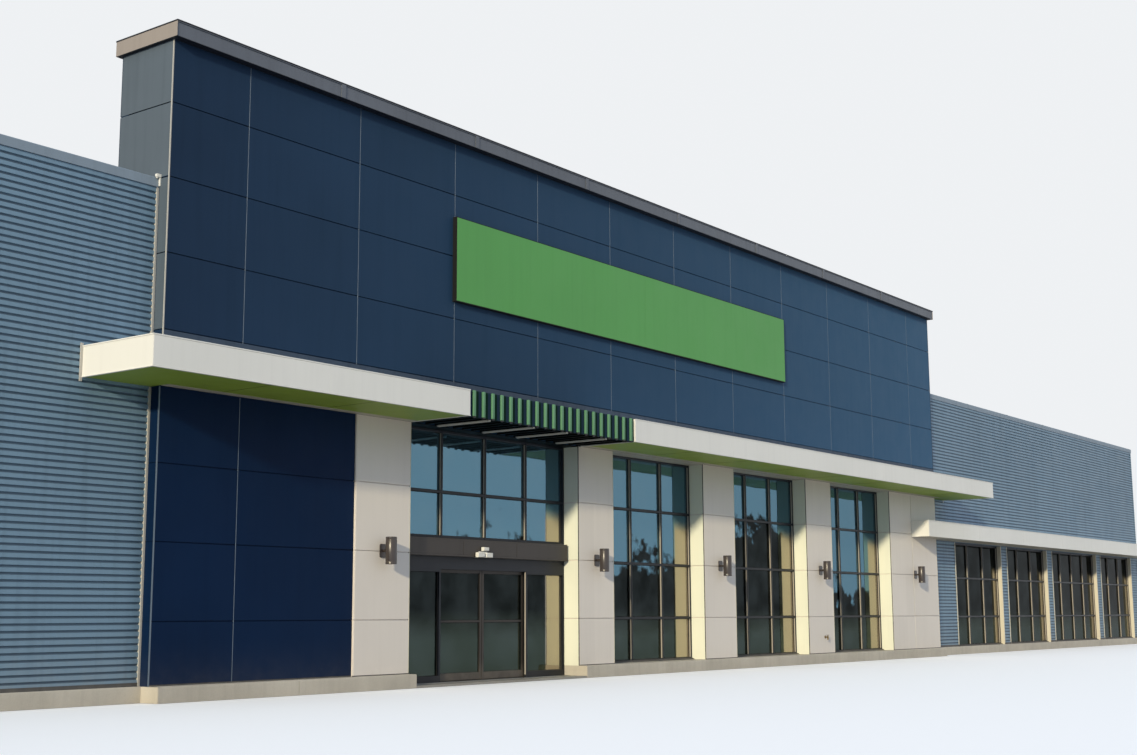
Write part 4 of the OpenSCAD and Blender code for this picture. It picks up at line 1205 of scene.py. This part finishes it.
class BUILDING_OT_fins(Operator):
    """Make the rounded fins over the entrance and the fittings of the light bars"""
    bl_idname = "building.fins"
    bl_label = "Fins"

    def execute(self, context):
        lo, hi = box("canopy_fins")
        starts, ends = pairs(FINS)
        width, depth, edge = ends[0] - starts[0], hi[1] - lo[1], 0.003
        # Each fin is a rounded outline carried upright, and drawn in by edge at both ends
        levels = np.array([lo[2], lo[2] + edge, hi[2] - edge, hi[2]])
        outline = rounded(1.0, depth / width, 0.14)
        grow = (width - 2 * edge * np.array([1, 0, 0, 1]))[None, :, None]
        rings = np.empty((starts.size, levels.size, len(outline), 3))
        rings[..., 0] = ((starts + ends) / 2)[:, None, None] + outline[:, 0] * grow
        rings[..., 1] = (lo[1] + hi[1]) / 2 + outline[:, 1] * grow
        rings[..., 2] = levels[None, :, None]
        piece("green_fins", "fin_green", [skin(rings)], stands_for=("canopy_fins",))
        lo, hi = box("light_bars")
        starts, ends = pairs(edges("light_bars", 0))
        sides = np.concatenate([starts - 0.0015, ends + 0.0015])
        level = (lo[2] + hi[2]) / 2 - 0.0005
        shapes = [bars(rounded(0.005, hi[2] - lo[2] + 0.003, 0.0015), at(sides, lo[1], level),
                       at(sides, hi[1], level), EAST)]
        shapes += [slabs((starts - 0.004, ends + 0.004), y, (lo[2] - 0.002, hi[2]), 0.002, (2, -1))
                   for y in ((lo[1] - 0.003, lo[1] + 0.012), (hi[1] - 0.012, hi[1] + 0.003))]
        piece("light_bar_rails", "fixture_white", shapes)
        return {"FINISHED"}


class BUILDING_OT_wall_lamps(Operator):
    """Turn the cylinder lamps on the piers"""
    bl_idname = "building.wall_lamps"
    bl_label = "Wall lamps"

    def execute(self, context):
        lo, hi = box("wall_lamps")
        radius, wall, height = 0.05, hi[1], hi[2] - lo[2]
        entrance, bay, corner = (edges(node, 0) for node in ("entrance_piers", "bay_piers",
                                                             "corner_pier"))
        middles = np.array([entrance[[0, 3]], bay[[0, 3]], entrance[[4, 7]], bay[[4, 7]],
                            corner[[0, 5]]]).mean(axis=1)
        centres = at(middles, lo[1] + radius, lo[2])
        band, lip = 0.022, 0.0012
        lower = np.array([(-0.012, 0.010), (-0.006, 0.010), (-0.006, 0.001), (-0.003, 0.0),
                          (0, 0.003), (0, band - 0.002), (-lip, band), (-lip, band + 0.004),
                          (0, band + 0.006)]) + (radius, 0)
        profile = np.vstack([lower, lower[::-1] * (1, -1) + (0, height)])
        gap = wall - (lo[1] + 2 * radius)
        stem = [(0.012, 0.0), (0.012, gap - 0.006), (0.018, gap - 0.003), (0.018, gap + 0.006)]
        backs = at(middles, wall - context.scene.building.sizes.proud - 0.0085,
                   (lo[2] + hi[2]) / 2)
        piece("cylinder_lamps", "lamp_bronze",
              [turned(profile, centres, steps=40),
               turned(stem, centres + (0, radius - 0.004, height / 2), 1),
               bars(rounded(0.084, 0.12, 0.014), backs, backs + NORTH * 0.010, EAST)],
              stands_for=("wall_lamps",))
        lens = np.array([(0.002, 0.0), (0.024, 0.0015), (radius - 0.0125, 0.003),
                         (radius - 0.0125, 0.006)])
        piece("lamp_lenses", "lamp_lens",
              [turned(lens * (1, way), centres + UP * z, steps=32)
               for way, z in ((1, 0.006), (-1, height - 0.006))])
        return {"FINISHED"}


class BUILDING_OT_siding_trim(Operator):
    """Add corner posts, jamb liners, flashings and coping covers to the ribbed walls"""
    bl_idname = "building.siding_trim"
    bl_label = "Siding trim"

    def execute(self, context):
        left_lo, left_hi = box("left_wing_wall")
        foot, wall_top = left_lo[2], left_hi[2] - 0.018
        proud, leg, sheet = 0.004, 0.04, 0.005
        west, east = left_lo[0] - proud, box("right_wing_piers")[1][0] + proud
        south, north = left_lo[1] - proud, box("back_wall")[1][1] + proud
        corners = ((west, south, EAST, NORTH), (east, south, -EAST, NORTH),
                   (west, north, EAST, -NORTH), (east, north, -EAST, -NORTH))
        piece("siding_corner_posts", "ribbed_siding",
              [posts(angle(leg, sheet), x, y, foot, wall_top, right, up)
               for x, y, right, up in corners])
        tower_lo, tower_hi = box("tower_face")
        (_, _, canopy_bottom), (_, _, canopy_top) = box("canopy_left")
        (_, _, low_bottom), (_, _, low_top) = box("low_canopy")
        closure_w = 0.018
        closure = strip(0, 0, closure_w, 0.02)
        piece("siding_closures", "siding_trim",
              [posts(closure, x, south - proud, bottom, top, right) for x, right, bottom, top in (
                  (tower_lo[0], -EAST, foot, canopy_bottom),
                  (tower_lo[0], -EAST, canopy_top, wall_top),
                  (tower_hi[0], EAST, foot, low_bottom),
                  (tower_hi[0], EAST, low_top, canopy_bottom),
                  (tower_hi[0], EAST, canopy_top, wall_top))])
        starts, ends = pairs(edges("wing_glass", 0))
        top = box("wing_glass")[1][2]
        depth = box("wing_window_frames")[0][1] - south
        liner = np.array([(-0.018, 0.0), (0.004, 0.0), (0.004, depth), (0.0, depth),
                          (0.0, 0.005), (-0.018, 0.005)])
        piece("wing_jamb_liners", "cream_trim",
              [posts(liner, starts, south, foot, top), posts(liner, ends, south, foot, top, -EAST)])
        drip = np.array([(0.0, 0.004), (0.0, 0.030), (-0.014, 0.030), (-0.014, 0.0), (0.004, 0.0)])
        walls = [(west, tower_lo[0] - closure_w)]
        walls += zip(np.append(tower_hi[0] + closure_w, ends), np.append(starts, east))
        paths = [[(x0, south), (x1, south)] for x0, x1 in walls]
        paths.append([(east, south), (east, north), (west, north), (west, south)])
        piece("siding_foot_flashing", "dark_flashing", [rails(drip, path, foot) for path in paths])
        self.cover_copings()
        return {"FINISHED"}

    @staticmethod
    def cover_copings():
        """Cover plates over the joints of the wing, side and rear copings."""
        copings = [box("left_wing_coping"), box("right_wing_coping")]
        lo, hi = box("rear_coping")
        depth = (copings[0][1] - copings[0][0])[1]
        shapes = [sleeves(*coping) for coping in copings]
        shapes.append(sleeves(np.array([lo[0], hi[1] - depth, lo[2]]), hi))
        shapes += [sleeves(np.array([x, lo[1], lo[2]]), np.array([x + depth, hi[1], hi[2]]), 1)
                   for x in (lo[0], hi[0] - depth)]
        piece("wing_coping_covers", "wing_coping", shapes)


class BUILDING_OT_sign(Operator):
    """Face the bare sign board"""
    bl_idname = "building.sign"
    bl_label = "Sign"

    def execute(self, context):
        lo, hi = box("sign_board")
        rim = 0.001
        columns = lengths(lo[0] + rim, hi[0] - rim, SIGN_SHEET, 0.0012)
        piece("sign_face", "sign_green",
              [plates(*tiles(columns, ([lo[2] + rim], [hi[2] - rim]),
                             (lo[1] - 0.003, lo[1] + SINK)), 0.001)])
        deep = box("tower_face")[0][1] - lo[1] + 0.002
        profile = rounded(0.007, deep, 0.001) + (0.003, deep / 2 - 0.002)
        piece("sign_return", "gasket", [hoops(profile, lo[None], hi[None])])
        return {"FINISHED"}


class BUILDING_OT_fixtures(Operator):
    """Add the hose tap on a pier and the small white fixture by the coping"""
    bl_idname = "building.fixtures"
    bl_label = "Fixtures"

    def execute(self, context):
        proud = context.scene.building.sizes.proud
        rose = at(TAP_X, box("bay_piers")[0][1] - proud, TAP_Z)
        spout = rose - (0, 0.039, 0)
        piece("hose_tap", "tap_brass", [
            turned([(0.010, 0.002), (0.020, 0.001), (0.020, -0.003), (0.012, -0.006),
                    (0.008, -0.006), (0.008, -0.030), (0.011, -0.032), (0.011, -0.046),
                    (0.006, -0.050)], rose, 1),
            turned([(0.006, 0.0), (0.009, -0.004), (0.009, -0.024), (0.011, -0.026),
                    (0.011, -0.034), (0.007, -0.034)], spout),
            turned([(0.004, 0.006), (0.004, 0.020), (0.016, 0.021), (0.018, 0.024),
                    (0.016, 0.027), (0.004, 0.028)], spout)])
        tower_x = box("tower_face")[0][0] - proud
        coping_top = box("left_wing_coping")[1][2]
        y0, y1 = FIXTURE_Y
        piece("corner_fixture", "fixture_white", [
            slabs((tower_x - 0.010, tower_x + SINK), (y0 + 0.004, y1 - 0.004),
                  (coping_top - 0.07, coping_top + 0.004), 0.002, (0, -1)),
            slabs((tower_x - 0.044, tower_x + SINK), (y0, y1), (coping_top, coping_top + 0.024),
                  0.005, (0, -1)),
            turned([(0.002, -0.013), (0.006, -0.011), (0.009, -0.006), (0.009, 0.002)],
                   at(tower_x - 0.03, (y0 + y1) / 2, coping_top))])
        return {"FINISHED"}


class BUILDING_OT_roof(Operator):
    """Lay the laps of the roofing and turn it up at the parapets"""
    bl_idname = "building.roof"
    bl_label = "Roof"

    def execute(self, context):
        lo, hi = box("roof_deck")
        level, rise, half_lap = hi[2], 0.2, 0.03
        laps = spaced(lo[1], hi[1], context.scene.building.sizes.seam_step)
        piece("roof_laps", "roof_membrane",
              [slabs((lo[0] + 0.1, hi[0] - 0.1), (laps - half_lap, laps + half_lap),
                     (level - SINK, level + 0.003), 0.002, (2, 1))])
        (west, _, _), (east, tower_y, _) = box("tower_back")
        upturn = np.array([(0.001, rise), (-0.005, rise), (-0.005, 0.045), (-0.045, 0.004),
                           (-0.12, 0.004), (-0.12, -0.001), (0.001, -0.001)])
        path = [(lo[0], lo[1]), (west, lo[1]), (west, tower_y), (east, tower_y), (east, lo[1]),
                (hi[0], lo[1]), (hi[0], hi[1]), (lo[0], hi[1])]
        piece("roof_upturns", "roof_membrane", [rails(upturn, path, level, True)])
        bar = strip(-0.008, rise - 0.024, 0.0, rise - 0.006)
        piece("roof_bar", "track_metal", [rails(bar, path, level, True)])
        return {"FINISHED"}


class BUILDING_OT_kerbs(Operator):
    """Cast the rounded kerb in lengths along every wall"""
    bl_idname = "building.kerbs"
    bl_label = "Kerbs"

    def execute(self, context):
        (west, front, _), (east, _, top) = box("tower_kerb")
        (wing_west, wing, _), (wing_east, _, _) = box("wing_kerb")
        (rear_west, _, _), (rear_east, rear, _) = box("rear_kerb")
        doorway = edges("tower_kerb", 0)
        radius, proud, past = 0.010, 0.003, 0.0015
        wide, narrow = 0.1, 0.024
        # The profile's front edge is a quarter circle, from the face up to the top
        turn = np.linspace(0, math.pi / 2, 5)
        face = np.column_stack([proud - radius * (1 - np.cos(turn)),
                                top + past - radius * (1 - np.sin(turn))])
        shapes = []
        for x0, y0, x1, y1, ledge in (
                (doorway[0], front, doorway[1] + past, front, wide),
                (doorway[2] - past, front, doorway[3], front, wide),
                (wing_west, wing, west, wing, narrow), (east, wing, wing_east, wing, narrow),
                (rear_east, wing, rear_east, rear, narrow),
                (rear_east, rear, rear_west, rear, narrow),
                (rear_west, rear, rear_west, wing, narrow),
                (west, wing, west, front, narrow), (east, front, east, wing, narrow)):
            profile = np.vstack([(proud, 0.0), face, (-ledge, top + past), (-ledge, 0.0)])
            origin, way = np.array([x0, y0, 0.0]), np.array([x1 - x0, y1 - y0, 0.0])
            reach = np.linalg.norm(way)
            way = way / reach
            starts, ends = lengths(0.0, reach, context.scene.building.sizes.kerb_step, 0.004)
            shapes.append(bars(profile, origin + starts[:, None] * way,
                               origin + ends[:, None] * way, np.cross(way, UP)))
        piece("kerb_lengths", "concrete", shapes)
        return {"FINISHED"}


class BUILDING_OT_finishes(Operator):
    """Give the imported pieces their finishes"""
    bl_idname = "building.finishes"
    bl_label = "Finishes"

    NODES = {
        "concrete": ("tower_kerb", "wing_kerb", "rear_kerb"),
        "floor_concrete": ("floor_slab",),
        "ribbed_siding": ("left_wing_wall", "right_wing_header", "right_wing_piers",
                          "left_side_wall", "right_side_wall", "back_wall"),
        "roof_membrane": ("roof_deck",),
        "navy_panel": ("tower_face", "tower_sides", "tower_back"),
        "navy_wall": ("navy_wall",),
        "dark_coping": ("tower_coping",),
        "wing_coping": ("left_wing_coping", "right_wing_coping", "rear_coping"),
        "pier_panel": ("entrance_piers", "bay_piers", "corner_pier"),
        "window_bars": ("window_frames", "wing_window_frames", "entrance_frame",
                        "sidelight_frames"),
        "track_metal": ("door_track",),
        "door_frame": ("left_door", "right_door"),
        "canopy_white": ("canopy_left", "canopy_right", "low_canopy"),
        "soffit_green": ("canopy_soffits",),
        "soffit_grey": ("low_soffit",),
        "baffle_black": ("fin_deck",),
        "light_diffuser": ("light_bars",),
        "sign_green": ("sign_board",),
    }

    def execute(self, context):
        for finish_name, nodes in self.NODES.items():
            for node in nodes:
                for material_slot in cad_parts[node].material_slots:
                    material_slot.material = finish(finish_name)
        return {"FINISHED"}


class BUILDING_OT_stage(Operator):
    """Set up the floor, the soft light, the low sun and the camera"""
    bl_idname = "building.stage"
    bl_label = "Stage"

    def execute(self, context):
        stage = context.scene.building.stage
        self.light(context.scene, stage)
        self.lay_floor(context.scene, stage)
        self.place_camera(context.scene, stage)
        context.scene.view_settings.view_transform = "Standard"
        return {"FINISHED"}

    @staticmethod
    def seen(graph):
        """1 for rays from the camera, a mirror or a clear sheet, and 0 for rays of light."""
        path = graph.add("ShaderNodeLightPath").outputs
        glossy = graph.math("MAXIMUM", path["Is Camera Ray"], path["Is Glossy Ray"])
        return graph.math("MAXIMUM", glossy, path["Is Transmission Ray"])

    def light(self, scene, stage):
        """A world of soft light that looks like the backdrop, and a low warm sun."""
        world = bpy.data.worlds.new("soft light")
        world.use_nodes = True
        world.node_tree.nodes.clear()
        graph = Graph(world.node_tree)
        fill, backdrop = (graph.add("ShaderNodeBackground", {0: tuple(colour) + (1,), 1: 1.0})
                          for colour in (stage.fill, stage.backdrop))
        both = graph.add("ShaderNodeMixShader", {0: self.seen(graph), 1: fill.outputs[0],
                                                 2: backdrop.outputs[0]})
        graph.add("ShaderNodeOutputWorld", {0: both.outputs[0]})
        scene.world = world
        sun = bpy.data.lights.new("low sun", "SUN")
        sun.energy, sun.angle, sun.color = stage.sun, stage.sun_size, stage.sun_colour
        lamp = bpy.data.objects.new("low sun", sun)
        lamp.rotation_euler = Vector(stage.sun_way).to_track_quat("-Z", "Y").to_euler()
        lamp.location = (-30, -20, 20)
        scene.collection.objects.link(lamp)

    def lay_floor(self, scene, stage):
        """A round floor that fades into the backdrop far from the building."""
        steps, radius, fade_start, fade_end = 96, 120.0, 26.0, 85.0
        turn = np.arange(steps) * 2 * math.pi / steps
        mesh = bpy.data.meshes.new("floor")
        mesh.from_pydata(at(radius * np.cos(turn), radius * np.sin(turn), -0.003).tolist(), [],
                         [list(range(steps))])
        material = bpy.data.materials.new("floor")
        material.use_nodes = True
        material.node_tree.nodes.clear()
        graph = Graph(material.node_tree)
        seen = self.seen(graph)
        tone = graph.mix(seen, tuple(stage.ground) + (1,), tuple(stage.floor) + (1,))
        backdrop = tuple(stage.backdrop) + (1,)
        matt = graph.add("ShaderNodeBsdfDiffuse", {0: tone})
        lift = graph.add("ShaderNodeEmission", {0: backdrop,
                                                1: graph.times(seen, stage.floor_lift)})
        near = graph.add("ShaderNodeAddShader", {0: matt.outputs[0], 1: lift.outputs[0]})
        far = graph.add("ShaderNodeEmission", {0: backdrop, 1: 1.0})
        distance = graph.add("ShaderNodeVectorMath", {0: graph.places()},
                             operation="LENGTH").outputs[1]
        fade = graph.times(graph.remap(distance, fade_start, fade_end), seen)
        both = graph.add("ShaderNodeMixShader", {0: fade, 1: near.outputs[0], 2: far.outputs[0]})
        graph.add("ShaderNodeOutputMaterial", {0: both.outputs[0]})
        mesh.materials.append(material)
        floor = bpy.data.objects.new("floor", mesh)
        scene.collection.objects.link(floor)

    @staticmethod
    def place_camera(scene, stage):
        """The camera looks along its yaw and pitch, then rolls about that line."""
        yaw, pitch, roll = stage.yaw, stage.pitch, stage.roll
        ahead = Vector((math.sin(yaw) * math.cos(pitch), math.cos(yaw) * math.cos(pitch),
                        math.sin(pitch)))
        right = Vector((math.cos(yaw), -math.sin(yaw), 0))
        above = right.cross(ahead)
        rolled = right * math.cos(roll) + above * math.sin(roll)
        above = above * math.cos(roll) - right * math.sin(roll)
        data = bpy.data.cameras.new("camera")
        data.sensor_width, data.lens, data.clip_end = 36, stage.lens, 1000
        camera = bpy.data.objects.new("camera", data)
        turn = Matrix((rolled, above, -ahead)).transposed().to_4x4()
        camera.matrix_world = Matrix.Translation(Vector(stage.camera)) @ turn
        scene.collection.objects.link(camera)
        scene.camera = camera


class BUILDING_PT_panel(Panel):
    """Lists the steps that dress the building"""
    bl_idname = "BUILDING_PT_panel"
    bl_label = "Building"
    bl_space_type = "VIEW_3D"
    bl_region_type = "UI"
    bl_category = "Building"

    def draw(self, context):
        for operator in OPERATORS:
            self.layout.operator(operator.bl_idname)
        building = context.scene.building
        for settings in (building.colours, building.sizes, building.stage):
            column = self.layout.column()
            for name in type(settings).__annotations__:
                column.prop(settings, name)


OPERATORS = (BUILDING_OT_stage, BUILDING_OT_finishes, BUILDING_OT_tower_panels,
             BUILDING_OT_tower_trim, BUILDING_OT_navy_corner, BUILDING_OT_pier_panels,
             BUILDING_OT_shop_glazing, BUILDING_OT_entrance, BUILDING_OT_canopies,
             BUILDING_OT_fins, BUILDING_OT_wall_lamps, BUILDING_OT_siding_trim, BUILDING_OT_sign,
             BUILDING_OT_fixtures, BUILDING_OT_roof, BUILDING_OT_kerbs)
SETTINGS = (BUILDING_PG_colours, BUILDING_PG_sizes, BUILDING_PG_stage, BUILDING_PG_settings)


def register():
    """Registers the settings, the operators and the panel."""
    for kind in SETTINGS + OPERATORS + (BUILDING_PT_panel,):
        bpy.utils.register_class(kind)
    bpy.types.Scene.building = PointerProperty(type=BUILDING_PG_settings)


def unregister():
    """Takes away what register made."""
    del bpy.types.Scene.building
    for kind in reversed(SETTINGS + OPERATORS + (BUILDING_PT_panel,)):
        bpy.utils.unregister_class(kind)


def main():
    register()
    for operator in OPERATORS:
        group, step = operator.bl_idname.split(".")
        if getattr(getattr(bpy.ops, group), step)() != {"FINISHED"}:
            raise RuntimeError(f"{operator.bl_label} did not finish")


if __name__ == "__main__":
    main()
